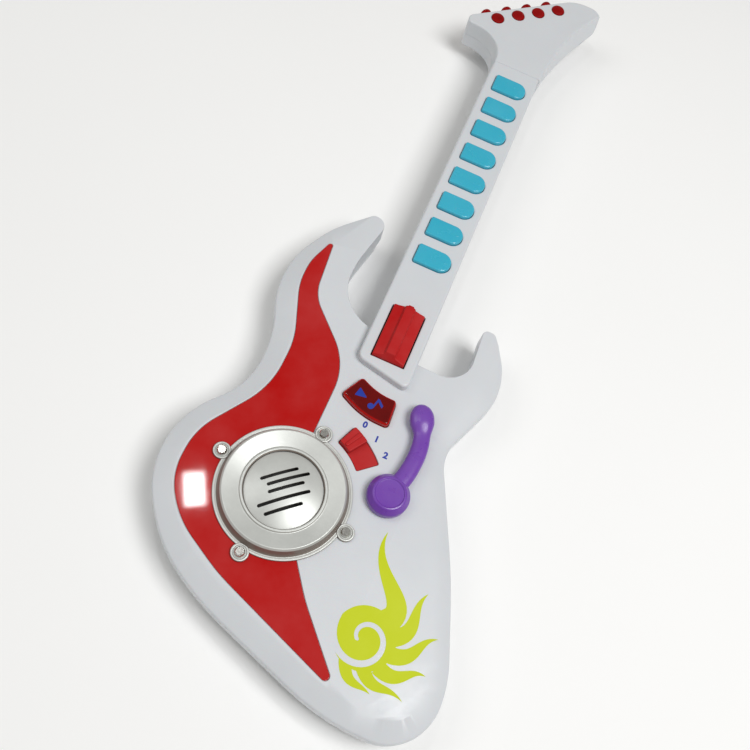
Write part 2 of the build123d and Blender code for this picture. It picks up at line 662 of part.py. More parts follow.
def switch_slider():
    plate = block(sector(44.6, 61.1, 39.5, 83.5), 29.1, 30.5)
    grip = block(sector(SLIDER_IN_R + 0.6, SLIDER_OUT_R - 0.6, *GRIP_ANGLES), 30.4, BODY_Z + 4.2)
    valley = (GRIP_ANGLES[0] + GRIP_ANGLES[1]) / 2
    notch = sector(SLIDER_IN_R - 2, SLIDER_OUT_R + 2, valley - 1.5, valley + 1.5)
    grip -= block(notch, BODY_Z + 3.2, BODY_Z + 6)
    fork = block(sector(51, 55, 59.5, 64.5), 25.0, 29.2)
    return plate + grip + fork


def slide_switch():
    """Body of the three-place switch that the slider's fork moves."""
    low = BOARD_Z + BOARD_THICK
    return block(sector(49.0, 57.0, 44.0, 68.0), low, low + 3.0)


# ------------------------------------------------------------------ whammy bar
def whammy_bar():
    hub = post(WHAMMY_X, WHAMMY_Y, WHAMMY_HUB_R, BODY_Z + 0.6, BODY_Z + 9.2)
    hub = fillet(top_rim(hub), 3.0)
    start, end = radians(-40), radians(34)

    def rail(radius):
        points = []
        for turn in (start, (start + end) / 2, end):
            points.append((WHAMMY_ARM_X + radius * cos(turn), WHAMMY_ARM_Y + radius * sin(turn)))
        return points

    inner, outer = rail(WHAMMY_ARM_R - WHAMMY_ARM_HALF), rail(WHAMMY_ARM_R + WHAMMY_ARM_HALF)
    edges = [
        ThreePointArc(*inner),
        Line(inner[2], outer[2]),
        ThreePointArc(*reversed(outer)),
        Line(outer[0], inner[0]),
    ]
    arm = block(make_face(edges), BODY_Z + 1.4, BODY_Z + 8.4)
    arm = fillet(top_rim(arm), 2.6)
    bulb_plan = Pos(32.6, -47.0, 0) * Rot(0, 0, 115) * Ellipse(10.2, 7.4)
    bulb = block(bulb_plan, BODY_Z + 1.2, BODY_Z + 10.4)
    bulb = fillet(top_rim(bulb), 3.4)
    bar = hub + arm + bulb + post(WHAMMY_X, WHAMMY_Y, WHAMMY_SHAFT_R, 23.7, BODY_Z + 1)
    bar -= post(WHAMMY_X, WHAMMY_Y, 8.8, BODY_Z + 8.5, BODY_Z + 10)
    return bar - post(WHAMMY_X, WHAMMY_Y, SCREW_R, 23, BODY_Z)


def whammy_washer():
    return post(WHAMMY_X, WHAMMY_Y, 8.5, 22.7, 23.7) - post(WHAMMY_X, WHAMMY_Y, SCREW_R, 22, 24)


def whammy_screw():
    return screw(WHAMMY_X, WHAMMY_Y, SCREW_R, 3.4, 20.6, 22.7, 31.0)


def whammy_spring():
    """Close-wound return spring round the bush, drawn as its turns."""
    turns = [Pos(WHAMMY_X, WHAMMY_Y, 24.8 + 0.98 * turn) * Torus(8.9, 0.45) for turn in range(4)]
    return turns


def whammy_switch():
    low = BOARD_Z + BOARD_THICK
    return box(38, 46, -88, -80, low, low + 3.4) + box(40.5, 43.5, -90.2, -88, low + 0.8, low + 2.4)


# ------------------------------------------------------------------ main board
def main_board():
    board = box(-25, 47.5, -116.5, -33, BOARD_Z, BOARD_Z + BOARD_THICK)
    board -= post(SPEAKER_X, SPEAKER_Y, 30.0, 18, 24)
    board -= post(WHAMMY_X, WHAMMY_Y, 10.5, 18, 24)
    for x, y in BOARD_SCREWS:
        board -= post(x, y, SMALL_SCREW_R, 18, 24)
    return board


def board_parts():
    """Chip blob, capacitors and the ribbon's two sockets."""
    low = BOARD_Z + BOARD_THICK
    blob = fillet(top_rim(post(20, -50, 9.0, low, low + 2.4)), 2.0)
    cans = [post(x, -40, 2.5, low, low + 5.5) for x in (30, 37)]
    socket = box(-4.5, 4.5, -39, -34.2, low, low + 0.7)
    key_socket = box(-4.5, 4.5, 53, 58, 22.55, KEY_BOARD_Z)
    chip = box(12, 24, -74, -67, low, low + 1.6)
    return [blob, *cans, socket, key_socket, chip]


def board_fixings():
    return [screw(x, y, SMALL_SCREW_R, 2.2, BOARD_Z - 1.6, BOARD_Z, 27.5) for x, y in BOARD_SCREWS]


def ribbon_cable():
    return box(-2.8, 2.8, -38.5, 60, 22.3, 22.55)


# ------------------------------------------------------------------ batteries
def battery_box():
    shell = box(*BOX_X, *BOX_Y, WALL, BOX_TOP_Z)
    shell -= box(BOX_X[0] + BOX_WALL, BOX_X[1] - BOX_WALL, BOX_Y[0] + BOX_WALL, BOX_Y[1] - BOX_WALL, 0, 17.9)
    return shell


def cell_rows():
    """Heights across the box of the three cells' axes."""
    middle = (BOX_Y[0] + BOX_Y[1]) / 2 - DOOR_STUD_ROOM
    return [middle + CELL_PITCH * row for row in (-1, 0, 1)]


def battery_cells():
    cells = []
    lying = Rot(0, 90, 0)
    for row, y in enumerate(cell_rows()):
        side = -1 if row % 2 else 1
        place = Pos(37.0, y, 10.2)
        can = lying * Cylinder(CELL_R, CELL_LENGTH - 1.2)
        cap = Pos(side * (CELL_LENGTH / 2), 0, 0) * lying * Cylinder(2.7, 1.2)
        cells.append(place * (can + cap))
    return cells


def battery_contacts():
    """Flat contact plates in the two ends of the box."""
    plates = []
    for y in cell_rows():
        plates.append(box(BOX_X[0] + BOX_WALL, BOX_X[0] + BOX_WALL + 0.5, y - 5.5, y + 5.5, 5.0, 15.5))
        plates.append(box(BOX_X[1] - BOX_WALL - 0.5, BOX_X[1] - BOX_WALL, y - 5.5, y + 5.5, 5.0, 15.5))
    return plates


def battery_springs():
    """Contact springs at each cell's flat end, drawn as turns that narrow towards the cell."""
    springs = []
    for row, y in enumerate(cell_rows()):
        side = 1 if row % 2 else -1
        for turn in range(3):
            x = 37.0 + side * (CELL_LENGTH / 2 + 1.0 + 1.9 * turn)
            springs.append(Pos(x, y, 10.2) * Rot(0, 90, 0) * Torus(2.6 + 0.6 * turn, 0.4))
    return springs


def battery_door():
    inset = BOX_WALL + 0.3
    door = box(BOX_X[0] + inset, BOX_X[1] - inset, BOX_Y[0] + inset, BOX_Y[1] - inset, 0, 2.2)
    return door - post(*door_screw_place(), SCREW_R + 0.2, -1, 3) - post(*door_screw_place(), 3.0, -1, 1.2)


def door_screw_place():
    return (BOX_X[1] + BOX_X[0]) / 2, BOX_Y[1] - BOX_WALL - 3.4


def battery_door_screw():
    x, y = door_screw_place()
    return post(x, y, 2.8, 0.2, 1.2) + post(x, y, SMALL_SCREW_R, 1.2, 9.0)


def door_boss():
    """Threaded stud inside the battery box that takes the door's screw."""
    x, y = door_screw_place()
    return box(x - 3, x + 3, y - 2.0, BOX_Y[1] - BOX_WALL + 0.4, WALL, 12) - post(x, y, SMALL_SCREW_R, 2, 10)


# ------------------------------------------------------------------ leads and screws
def speaker_leads():
    first = [(-12, -110, 17.5), (-8, -104, 17.5), (-6, -96, 17.5), (-4, -88, 19.1)]
    second = [(x + 3.0, y - 1.5, z) for x, y, z in first]
    return [lead(first, 0.7, 4.0), lead(second, 0.7, 4.0)]


def battery_leads():
    leads = []
    for shift in (0.0, 3.0):
        points = [(24, -147.2, 12), (24, -136, 12), (20, -118, 14), (20, -100, 19.1)]
        leads.append(Pos(shift, 0, 0) * lead(points, 0.7, 6.0))
    return leads


def lamp_leads():
    leads = []
    for shift in (-9.0, -6.0):
        points = [(0, 309, 25.3), (0, 282, 23.2), (0, 262, 23.2), (0, 240, 24.3)]
        leads.append(Pos(shift, 0, 0) * lead(points, 0.6, 8.0))
    return leads


def body_screws():
    return [screw(x, y, SCREW_R, 2.9, 4.0, 6.0, 26.0) for x, y in BODY_SCREWS]


def tongue_screws():
    return [screw(x, y, SCREW_R, 2.9, 4.0, 6.0, 22.0) for x, y in TONGUE_SCREWS]


def neck_screws():
    return [screw(x, y, SMALL_SCREW_R, 2.5, 14.6, 16.5, 32.0) for x, y in NECK_SCREWS]


def headstock_screws():
    return [screw(x, y, SMALL_SCREW_R, 2.5, 14.6, 16.5, 32.0) for x, y in HEAD_SCREWS]


# ------------------------------------------------------------------ writing
def placed(shape):
    """Shape, or a list of separate solids, moved into the part's own frame."""
    shift = Pos(-MIDDLE_X, -MIDDLE_Y, 0)
    if isinstance(shape, list):
        return Compound([shift * solid for piece in shape for solid in piece.solids()])
    return shift * shape


nodes = {
    "body_front_shell": body_front_shell(),
    "body_rear_shell": body_rear_shell(),
    "neck_front_shell": neck_front_shell(),
    "neck_rear_shell": neck_rear_shell(),
    "headstock_cover": headstock_cover(),
    "red_panel": red_panel(),
    "flame_decal": flame_decal(),
    "speaker_bezel": speaker_bezel(),
    "speaker_grille": speaker_grille(),
    "bezel_screws": bezel_screws(),
    "speaker_basket": speaker_basket(),
    "speaker_cone": speaker_cone(),
    "speaker_magnet": speaker_magnet(),
    "speaker_clamps": speaker_clamps(),
    "speaker_leads": speaker_leads(),
    "face_lenses": face_lenses(),
    "edge_pegs": edge_pegs(),
    "lamp_board": lamp_board(),
    "lamps": lamps(),
    "lamp_leads": lamp_leads(),
    "key_board": key_board(),
    "key_membrane": key_membrane(),
    "strum_bar": strum_bar(),
    "strum_pin": strum_pin(),
    "strum_board": strum_board(),
    "strum_switches": strum_switches(),
    "strum_board_screws": strum_board_fixings(),
    "demo_button": demo_button(),
    "demo_switch": demo_switch(),
    "switch_slider": switch_slider(),
    "slide_switch": slide_switch(),
    "whammy_bar": whammy_bar(),
    "whammy_washer": whammy_washer(),
    "whammy_screw": whammy_screw(),
    "whammy_spring": whammy_spring(),
    "whammy_switch": whammy_switch(),
    "main_board": main_board(),
    "board_parts": board_parts(),
    "board_screws": board_fixings(),
    "ribbon_cable": ribbon_cable(),
    "battery_box": battery_box() + door_boss(),
    "battery_cells": battery_cells(),
    "battery_contacts": battery_contacts(),
    "battery_springs": battery_springs(),
    "battery_leads": battery_leads(),
    "battery_door": battery_door(),
    "battery_door_screw": battery_door_screw(),
    "body_screws": body_screws(),
    "tongue_screws": tongue_screws(),
    "neck_screws": neck_screws(),
    "headstock_screws": headstock_screws(),
}
for number in range(KEY_COUNT):
    nodes[f"key_{number + 1}"] = key(number)

for name, shape in nodes.items():
    export_step(placed(shape), f"parts/{name}.step")
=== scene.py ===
"""Looks of a toy electric guitar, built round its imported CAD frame.

Lengths are in millimetres in the drawing frame: x = 0 on the neck's centre line, y = 0 near the neck's root,
z = 0 on the rear face. row() turns them into the frame's metres.
"""
import json
from math import atan2, ceil, cos, degrees, pi, radians, sin, sqrt

import bmesh
import bpy
from mathutils import Matrix, Vector


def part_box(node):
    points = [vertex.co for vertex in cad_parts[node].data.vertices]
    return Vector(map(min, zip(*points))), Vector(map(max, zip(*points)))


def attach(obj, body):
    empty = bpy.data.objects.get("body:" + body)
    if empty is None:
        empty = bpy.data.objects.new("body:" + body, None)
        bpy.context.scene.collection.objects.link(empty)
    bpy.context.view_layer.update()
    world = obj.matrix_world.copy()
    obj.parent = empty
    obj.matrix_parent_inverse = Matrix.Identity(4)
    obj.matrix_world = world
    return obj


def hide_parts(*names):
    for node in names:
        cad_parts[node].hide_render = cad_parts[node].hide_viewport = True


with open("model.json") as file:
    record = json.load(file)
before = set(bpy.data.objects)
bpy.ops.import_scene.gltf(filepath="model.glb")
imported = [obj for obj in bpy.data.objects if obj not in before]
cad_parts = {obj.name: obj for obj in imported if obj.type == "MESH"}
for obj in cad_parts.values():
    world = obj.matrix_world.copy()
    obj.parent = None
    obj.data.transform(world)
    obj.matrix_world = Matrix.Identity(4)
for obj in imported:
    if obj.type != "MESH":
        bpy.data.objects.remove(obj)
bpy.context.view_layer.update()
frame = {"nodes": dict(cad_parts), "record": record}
nodes = frame["nodes"]

MM = 0.001

# Seam between the neck's front and the headstock's cover.
SEAM_Y = 251.5

# Heights: the body shells' parting, the body's face, the neck's face.
PARTING_Z = 18.0
BODY_Z = 32.0
NECK_Z = 38.0

# Heights that a cutter through the face runs between.
INSIDE_Z = 20.0
ABOVE_Z = 40.0

# Sockets of a colour Mix node.
FIRST_COLOUR, SECOND_COLOUR, MIXED_COLOUR = 6, 7, 2

neck_low, neck_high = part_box("neck_front_shell")
ZERO = Vector(((neck_low[0] + neck_high[0]) / 2, neck_high[1] - SEAM_Y * MM, 0.0))


def row(x, y, z):
    """Point of the drawing frame, in millimetres, as a point of the frame, in metres."""
    return ZERO + Vector((x, y, z)) * MM


# ------------------------------------------------------------------ materials
def colour(red, green, blue):
    """Linear colour from sRGB values between 0 and 255."""
    def linear(value):
        value /= 255.0
        return value / 12.92 if value <= 0.04045 else ((value + 0.055) / 1.055) ** 2.4
    return (linear(red), linear(green), linear(blue), 1.0)


BLACK = (0, 0, 0, 1)
WHITE = (1, 1, 1, 1)


def mixed(first, second, share):
    return tuple(a + (b - a) * share for a, b in zip(first, second))


class Nodes:
    """Short way to write a material's node tree."""

    def __init__(self, name):
        self.material = bpy.data.materials.new(name)
        self.material.use_nodes = True
        self.tree = self.material.node_tree
        self.shader = self.tree.nodes["Principled BSDF"]
        self.place = self.add("ShaderNodeTexCoord").outputs["Object"]

    def add(self, kind, **values):
        node = self.tree.nodes.new(kind)
        for key, value in values.items():
            setattr(node, key, value)
        return node

    def link(self, source, target):
        self.tree.links.new(source, target)

    def noise(self, scale, detail=2.0, roughness=0.5):
        node = self.add("ShaderNodeTexNoise")
        node.inputs["Scale"].default_value = scale
        node.inputs["Detail"].default_value = detail
        node.inputs["Roughness"].default_value = roughness
        self.link(self.place, node.inputs["Vector"])
        return node.outputs["Fac"]

    def spread(self, source, low, high, start=0.3, end=0.7):
        """Value between low and high as the source goes from start to end."""
        node = self.add("ShaderNodeMapRange")
        node.inputs["From Min"].default_value = start
        node.inputs["From Max"].default_value = end
        node.inputs["To Min"].default_value = low
        node.inputs["To Max"].default_value = high
        self.link(source, node.inputs["Value"])
        return node.outputs["Result"]

    def blend(self, source, first, second, start=0.3, end=0.7):
        """Colour between two colours as the source goes from start to end."""
        node = self.add("ShaderNodeValToRGB")
        node.color_ramp.elements[0].position = start
        node.color_ramp.elements[0].color = first
        node.color_ramp.elements[1].position = end
        node.color_ramp.elements[1].color = second
        self.link(source, node.inputs["Fac"])
        return node.outputs["Color"]

    def by_slope(self, steep, level, start, end):
        """Colour that is steep on walls and level on faces that point up, used to paint light that follows
        the slope.
        """
        normal = self.add("ShaderNodeSeparateXYZ")
        self.link(self.add("ShaderNodeNewGeometry").outputs["Normal"], normal.inputs["Vector"])
        mix = self.add("ShaderNodeMix", data_type="RGBA")
        self.link(self.spread(normal.outputs["Z"], 0.0, 1.0, start, end), mix.inputs["Factor"])
        mix.inputs[FIRST_COLOUR].default_value = steep
        self.link(level, mix.inputs[SECOND_COLOUR])
        return mix.outputs[MIXED_COLOUR]

    def paint(self, source):
        self.link(source, self.shader.inputs["Base Color"])

    def polish(self, source, roughness, least, most):
        """Uneven roughness, between two multiples of the given one."""
        self.link(self.spread(source, roughness * least, roughness * most), self.shader.inputs["Roughness"])

    def bump(self, source, depth):
        """Relief of the given depth in metres."""
        node = self.add("ShaderNodeBump")
        node.inputs["Distance"].default_value = depth
        node.inputs["Strength"].default_value = 1.0
        self.link(source, node.inputs["Height"])
        self.link(node.outputs["Normal"], self.shader.inputs["Normal"])

    def set(self, **values):
        for key, value in values.items():
            self.shader.inputs[key.replace("_", " ")].default_value = value


def plastic(name, tone, roughness, coat, variation, grain=2200.0, relief=4e-6, glow=0.0, gloss=0.5):
    """Moulded plastic: faint cloudiness, uneven gloss from the tool's polish, and orange-peel relief.

    glow is the share of light that enters the plastic, and gloss the strength of its reflection.
    """
    made = Nodes(name)
    darker = mixed(tone, BLACK, variation)
    lighter = mixed(tone, WHITE, variation * 0.6)
    made.paint(made.blend(made.noise(26.0, 4.0, 0.6), darker, lighter))
    made.polish(made.noise(140.0, 5.0, 0.65), roughness, 0.8, 1.25)
    made.bump(made.noise(grain, 3.0), relief)
    made.set(Coat_Weight=coat, Coat_Roughness=0.08, IOR=1.5, Specular_IOR_Level=gloss)
    if glow:
        made.set(Subsurface_Weight=glow, Subsurface_Scale=0.002)
    return made.material


def metal(name, tone, roughness, grain=900.0, relief=2e-6, painted_wall_reflection=None, purity=1.0):
    """Bright or plated metal with fine uneven polish.

    A wall colour, when given, is painted on steep walls as a dark reflection, and purity is how much of it
    looks like metal.
    """
    made = Nodes(name)
    clean = made.blend(made.noise(60.0, 5.0, 0.7), mixed(tone, BLACK, 0.12), tone)
    # Painted reflection: steep walls take a darker colour than faces that point up.
    if painted_wall_reflection:
        clean = made.by_slope(painted_wall_reflection, clean, 0.45, 0.8)
    made.paint(clean)
    fine = made.noise(grain, 4.0, 0.6)
    made.polish(fine, roughness, 0.75, 1.3)
    made.bump(fine, relief)
    made.set(Metallic=purity)
    return made.material


def clear_red(name, tone, roughness, rim=0.35, gloss=0.3):
    """Translucent dark red plastic, lighter by the share rim where it turns down to its edge, which is
    painted light.
    """
    made = Nodes(name)
    inside = made.blend(made.noise(90.0, 3.0), mixed(tone, BLACK, 0.2), tone)
    # Painted light: the edge that turns down is mixed towards bright red.
    made.paint(made.by_slope(mixed(tone, colour(255, 20, 10), rim), inside, 0.8, 0.99))
    made.polish(made.noise(160.0, 4.0), roughness, 0.8, 1.25)
    made.bump(made.noise(1500.0), 2e-6)
    made.set(IOR=1.49, Specular_IOR_Level=gloss, Subsurface_Weight=0.2, Subsurface_Scale=0.003)
    return made.material


white = plastic("white_plastic", colour(212, 215, 219), 0.36, 0.08, 0.02, relief=2e-6, glow=0.05)
panel_red = plastic("panel_red", colour(184, 8, 6), 0.045, 0.0, 0.04, relief=3e-7, gloss=0.28)
part_red = plastic("part_red", colour(184, 6, 8), 0.38, 0.0, 0.05, gloss=0.15)
key_blue = plastic("key_blue", colour(42, 178, 206), 0.24, 0.6, 0.04, glow=0.08)
purple = plastic("purple", colour(114, 58, 172), 0.3, 0.1, 0.05, glow=0.04)
film = plastic("decal_film", colour(200, 212, 6), 0.4, 0.0, 0.04, gloss=0.15)
black = plastic("black_plastic", colour(26, 26, 28), 0.45, 0.0, 0.2)
board = plastic("circuit_board", colour(30, 96, 48), 0.35, 0.3, 0.2)
rubber = plastic("rubber", colour(128, 130, 132), 0.7, 0.0, 0.1, relief=1.2e-5)
lead_red = plastic("lead_cover", colour(150, 22, 18), 0.5, 0.0, 0.1)
lamp_red = plastic("lamp_plastic", colour(214, 70, 60), 0.15, 0.5, 0.1)
paper = plastic("cone_paper", colour(40, 38, 35), 0.9, 0.0, 0.3, 700.0, 4e-5)
jacket = plastic("cell_jacket", colour(66, 82, 74), 0.35, 0.2, 0.15)
# The silver plate's steep walls get a painted dark reflection in brownish grey.
silver = metal("silver_plate", colour(216, 218, 214), 0.4, 2600.0, 3e-7, colour(132, 120, 112), 0.4)
steel = metal("bright_steel", colour(206, 205, 200), 0.2)
dark_metal = metal("speaker_metal", colour(60, 60, 62), 0.45)
ferrite = metal("ferrite", colour(52, 52, 54), 0.6, 500.0, 1e-5)
print_blue = plastic("print_blue", colour(14, 48, 160), 0.5, 0.0, 0.06, gloss=0.2)
# The clear reds get painted light on their down-turned edges, strongly on the button and faintly on the
# lenses.
dark_red = clear_red("clear_dark_red", colour(108, 5, 4), 0.12)
lens_red = clear_red("lens_red", colour(146, 6, 6), 0.4, 0.04, 0.12)

BY_SLOT = {
    "white_plastic": white, "red_panel_plastic": panel_red, "decal_film": film, "silver_plate": silver,
    "bright_steel": steel, "speaker_metal": dark_metal, "speaker_paper": paper, "ferrite": ferrite,
    "clear_dark_red": dark_red, "red_plastic": part_red, "key_plastic": key_blue, "purple_plastic": purple,
    "circuit_board": board, "black_parts": black, "clear_lamp": lamp_red, "lead_cover": lead_red,
    "rubber": rubber, "cell_jacket": jacket,
}
SLOT_OF = {part["node"]: part["material_slot"] for part in frame["record"]["subparts"]}


def dress(thing, material):
    thing.data.materials.clear()
    thing.data.materials.append(material)


for node_name, node in nodes.items():
    dress(node, BY_SLOT[SLOT_OF[node_name]])


# ------------------------------------------------------------------ mesh helpers
def shown(thing):
    """The object, put into the scene."""
    bpy.context.scene.collection.objects.link(thing)
    return thing


def opened(thing):
    source = bmesh.new()
    source.from_mesh(thing.data)
    return source


def closed(source, thing):
    """Writes a bmesh back to the object."""
    source.to_mesh(thing.data)
    source.free()


def object_from(name, mesh_maker, material):
    """Object at the frame's origin from a filled bmesh."""
    mesh = bpy.data.meshes.new(name)
    mesh_maker.normal_update()
    mesh_maker.to_mesh(mesh)
    mesh_maker.free()
    thing = shown(bpy.data.objects.new(name, mesh))
    dress(thing, material)
    return thing


def settled(thing):
    """The object with its modifiers applied."""
    graph = bpy.context.evaluated_depsgraph_get()
    mesh = bpy.data.meshes.new_from_object(thing.evaluated_get(graph))
    thing.modifiers.clear()
    thing.data = mesh
    return thing


def tidied(thing, distance=0.02):
    """Joins points that Boolean operations leave almost on each other."""
    source = opened(thing)
    bmesh.ops.remove_doubles(source, verts=source.verts, dist=distance * MM)
    bmesh.ops.dissolve_degenerate(source, edges=source.edges, dist=distance * MM)
    closed(source, thing)


def eased(thing, width, segments=3, angle=20.0, rule=None):
    """Rounds the object's edges. rule gives an edge's own width in millimetres from its middle and turn."""
    tidied(thing)
    bevel = thing.modifiers.new("eased", "BEVEL")
    bevel.segments = segments
    bevel.harden_normals = True
    bevel.use_clamp_overlap = False
    bevel.width = width * MM
    if rule:
        bevel.limit_method = "WEIGHT"
        source = opened(thing)
        layer = source.edges.layers.float.new("bevel_weight_edge")
        for edge in source.edges:
            turn = degrees(edge.calc_face_angle(0.0))
            if turn > angle:
                middle = (edge.verts[0].co + edge.verts[1].co) / 2 - ZERO
                edge[layer] = min(rule(middle / MM, turn) / width, 1.0)
        closed(source, thing)
    else:
        bevel.limit_method = "ANGLE"
        bevel.angle_limit = radians(angle)
    thing.data.shade_smooth()
    return settled(thing)


def stands_for(thing, material, body, *node_names):
    """The object takes a material, replaces CAD nodes and rides on their body."""
    dress(thing, material)
    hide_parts(*node_names)
    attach(thing, body)
    return thing


def outline(corners, inset=0.0, step=4.0):
    """Points of an outline with rounded corners, moved inwards. Their count doesn't depend on the inset."""
    count = len(corners)
    places = [Vector((x, y)) for x, y, _ in corners]
    area = sum(places[i - 1].x * places[i].y - places[i - 1].y * places[i].x for i in range(count))
    side = 1.0 if area > 0 else -1.0
    points = []
    for i in range(count):
        into = (places[i] - places[i - 1]).normalized()
        out = (places[(i + 1) % count] - places[i]).normalized()
        first, second = (Vector((-d.y, d.x)) * side for d in (into, out))
        corner = places[i] + (first + second) * (inset / (1 + first.dot(second)))
        turn = atan2(into.x * out.y - into.y * out.x, into.dot(out))
        convex = turn * side > 0
        radius = corners[i][2]
        if radius == 0:
            points.append(corner)
            continue
        radius = max(radius + (-inset if convex else inset), 0.05)
        normal = first if convex else -first
        start = corner - into * (radius * abs(sin(turn / 2) / cos(turn / 2)))
        centre = start + normal * radius
        parts = max(2, ceil(abs(degrees(turn)) / step))
        for part in range(parts + 1):
            angle = turn * part / parts
            arm = -normal * radius
            turned_arm = (arm.x * cos(angle) - arm.y * sin(angle), arm.x * sin(angle) + arm.y * cos(angle))
            points.append(centre + Vector(turned_arm))
    return points


def lifted(points, z):
    return [(point[0], point[1], z) for point in points]


def ringed(name, rings, material):
    """Closed solid through rings of equal counts, with a flat cap on the first and the last."""
    source = bmesh.new()
    made = [[source.verts.new(row(*point)) for point in ring] for ring in rings]
    for low, high in zip(made, made[1:]):
        for i in range(len(low)):
            source.faces.new((low[i - 1], low[i], high[i], high[i - 1]))
    source.faces.new(reversed(made[0]))
    source.faces.new(made[-1])
    bmesh.ops.remove_doubles(source, verts=source.verts, dist=2e-6)
    bmesh.ops.recalc_face_normals(source, faces=source.faces)
    return object_from(name, source, material)


def pillar(corners, low, high, inset=0.0, step=4.0):
    """Straight block over an outline, used to cut with."""
    points = outline(corners, inset, step)
    return ringed("cutter", [lifted(points, low), lifted(points, high)], black)


def lipped(corners, low, top, lip=0.5, inset=0.0, step=4.0):
    """Cutter for a window whose upper edge is rounded."""
    rings = [lifted(outline(corners, inset, step), low)]
    for part in range(5):
        turn = radians(80 * part / 4)
        grow = lip * (1 - cos(turn))
        rings.append(lifted(outline(corners, inset - grow, step), top - lip + lip * sin(turn)))
    wide = outline(corners, inset - grow - 0.3, step)
    rings += [lifted(wide, top + 0.04), lifted(wide, top + 9)]
    return ringed("cutter", rings, black)


def square(x0, x1, y0, y1, radius=0.0):
    """Corners of an upright rectangle."""
    return [(x0, y0, radius), (x1, y0, radius), (x1, y1, radius), (x0, y1, radius)]


def round_corners(x, y, radius):
    """Corners of an outline that is a circle."""
    return square(x - radius, x + radius, y - radius, y + radius, radius)


def rod(x, y, radius, low, high, step=4.0):
    return pillar(round_corners(x, y, radius), low, high, 0.0, step)


def turn_about(axis, angle):
    return Matrix.Rotation(radians(angle), 4, axis)


def combined(thing, operation, *others):
    """The object after Boolean operations with others, which are used up."""
    for other in others:
        step = thing.modifiers.new("step", "BOOLEAN")
        step.operation = operation
        step.solver = "EXACT"
        step.object = other
        settled(thing)
        bpy.data.objects.remove(other)
    return thing


def cut(thing, *others):
    return combined(thing, "DIFFERENCE", *others)


def fused(thing, *others):
    return combined(thing, "UNION", *others)


def hollowed(thing, core, floor_z):
    """Shell between two solids that stand on the same height and stays open there. The core is used up."""
    core.data.flip_normals()
    source = opened(thing)
    source.from_mesh(core.data)
    bpy.data.objects.remove(core)
    level = (ZERO.z + floor_z * MM) + 1e-6
    under = [face for face in source.faces if all(point.co.z < level for point in face.verts)]
    bmesh.ops.delete(source, geom=under, context="FACES_ONLY")
    rim = [edge for edge in source.edges if edge.is_boundary]
    bmesh.ops.triangle_fill(source, edges=rim, normal=(0, 0, -1), use_beauty=True)
    closed(source, thing)
    return thing


def shaded(thing, angle=35.0):
    """Smooth shading that follows the large faces, with edges sharper than the angle kept."""
    source = opened(thing)
    bmesh.ops.remove_doubles(source, verts=source.verts, dist=2e-6)
    bmesh.ops.dissolve_degenerate(source, edges=source.edges, dist=2e-6)
    bmesh.ops.triangulate(source, faces=[face for face in source.faces if len(face.verts) > 4])
    closed(source, thing)
    thing.data.shade_smooth()
    thing.data.set_sharp_from_angle(angle=radians(angle))
    weights = thing.modifiers.new("weights", "WEIGHTED_NORMAL")
    weights.keep_sharp = True
    weights.weight = 80
    return settled(thing)


def rounded(thing, centre):
    """Gives faces that lie on a ball about the centre the ball's own normals."""
    mesh = thing.data
    normals = []
    for face in mesh.polygons:
        for index in face.vertices:
            spoke = (mesh.vertices[index].co - centre).normalized()
            along = spoke.dot(face.normal)
            normals.append(spoke * (1 if along > 0 else -1) if abs(along) > 0.97 else face.normal.copy())
    mesh.normals_split_custom_set(normals)
    return thing


# ------------------------------------------------------------------ casing
WALL = 2.5

# A slanted wall's width along x, for each millimetre of its thickness.
SLANT = 1.2

# Body's bevel: the height where it starts and how far in it reaches the face.
BEVEL_Z = 27.0
BEVEL_WIDTH = 11.5

NECK_PARTING_Z = 25.0
NECK_REAR_Z = 12.5
NECK_HALF = 18.5

# Outlines: x, y and corner radius.
BODY_CORNERS = [
    (-34.5, 93.0, 7.0), (-69.9, 61.5, 55.0), (-84.6, 30.0, 65.0), (-84.6, 0.4, 65.0), (-71.7, -30.6, 90.0),
    (-71.7, -68.3, 50.0), (-100.0, -100.7, 60.0), (-100.0, -141.7, 58.0), (-74.7, -177.8, 95.0),
    (-39.5, -197.4, 170.0), (45.5, -227.1, 150.0), (89.4, -227.1, 30.0), (103.5, -204.0, 34.0),
    (103.5, -182.0, 70.0), (85.5, -127.5, 300.0), (54.6, -58.0, 28.0), (73.4, -13.3, 50.0),
    (73.4, 9.4, 38.0), (57.2, 33.4, 4.5), (49.6, 33.4, 3.6), (51.4, -11.5, 17.6), (0.0, -10.0, 6.0),
    (-8.0, -0.5, 6.0), (-44.6, -0.5, 32.0), (-44.6, 42.0, 80.0),
]
BEVEL_CORNERS = [(-50.0, 104.0, 20.0)] + BODY_CORNERS[2:17] + [(73.4, 104.0, 20.0)]
PANEL_CORNERS = [
    (-64.6, 51.8, 1.5), (-72.2, 27.7, 40.0), (-72.2, 9.7, 50.0), (-58.1, -29.4, 60.0), (-58.1, -65.6, 60.0),
    (-86.0, -109.4, 45.0), (-86.0, -139.8, 40.0), (-69.9, -161.5, 60.0), (-38.0, -179.7, 120.0),
    (47.1, -212.5, 2.5), (12.0, -174.1, 100.0), (-6.0, -149.0, 1.0), (-23.0, -105.0, 1.0),
    (-23.0, -31.0, 45.0), (-59.6, 5.6, 30.0),
]
NECK_CORNERS = [
    (-NECK_HALF, SEAM_Y + 9, 0), (-NECK_HALF, -25.0, 6.0), (NECK_HALF, -33.0, 4.0),
    (NECK_HALF, SEAM_Y + 9, 0),
]
HEAD_CORNERS = [
    (-NECK_HALF, 235.0, 0), (-19.0, 277.5, 24.0), (-50.0, 279.3, 4.0), (-50.8, 286.5, 6.0),
    (20.4, 348.0, 25.0), (48.8, 348.0, 10.0), (28.0, 295.0, 200.0), (NECK_HALF, 252.0, 120.0),
    (NECK_HALF, 235.0, 0),
]
REAR_CORNERS = [(-NECK_HALF, -12.0, 0)] + HEAD_CORNERS[1:-1] + [(NECK_HALF, -12.0, 0)]

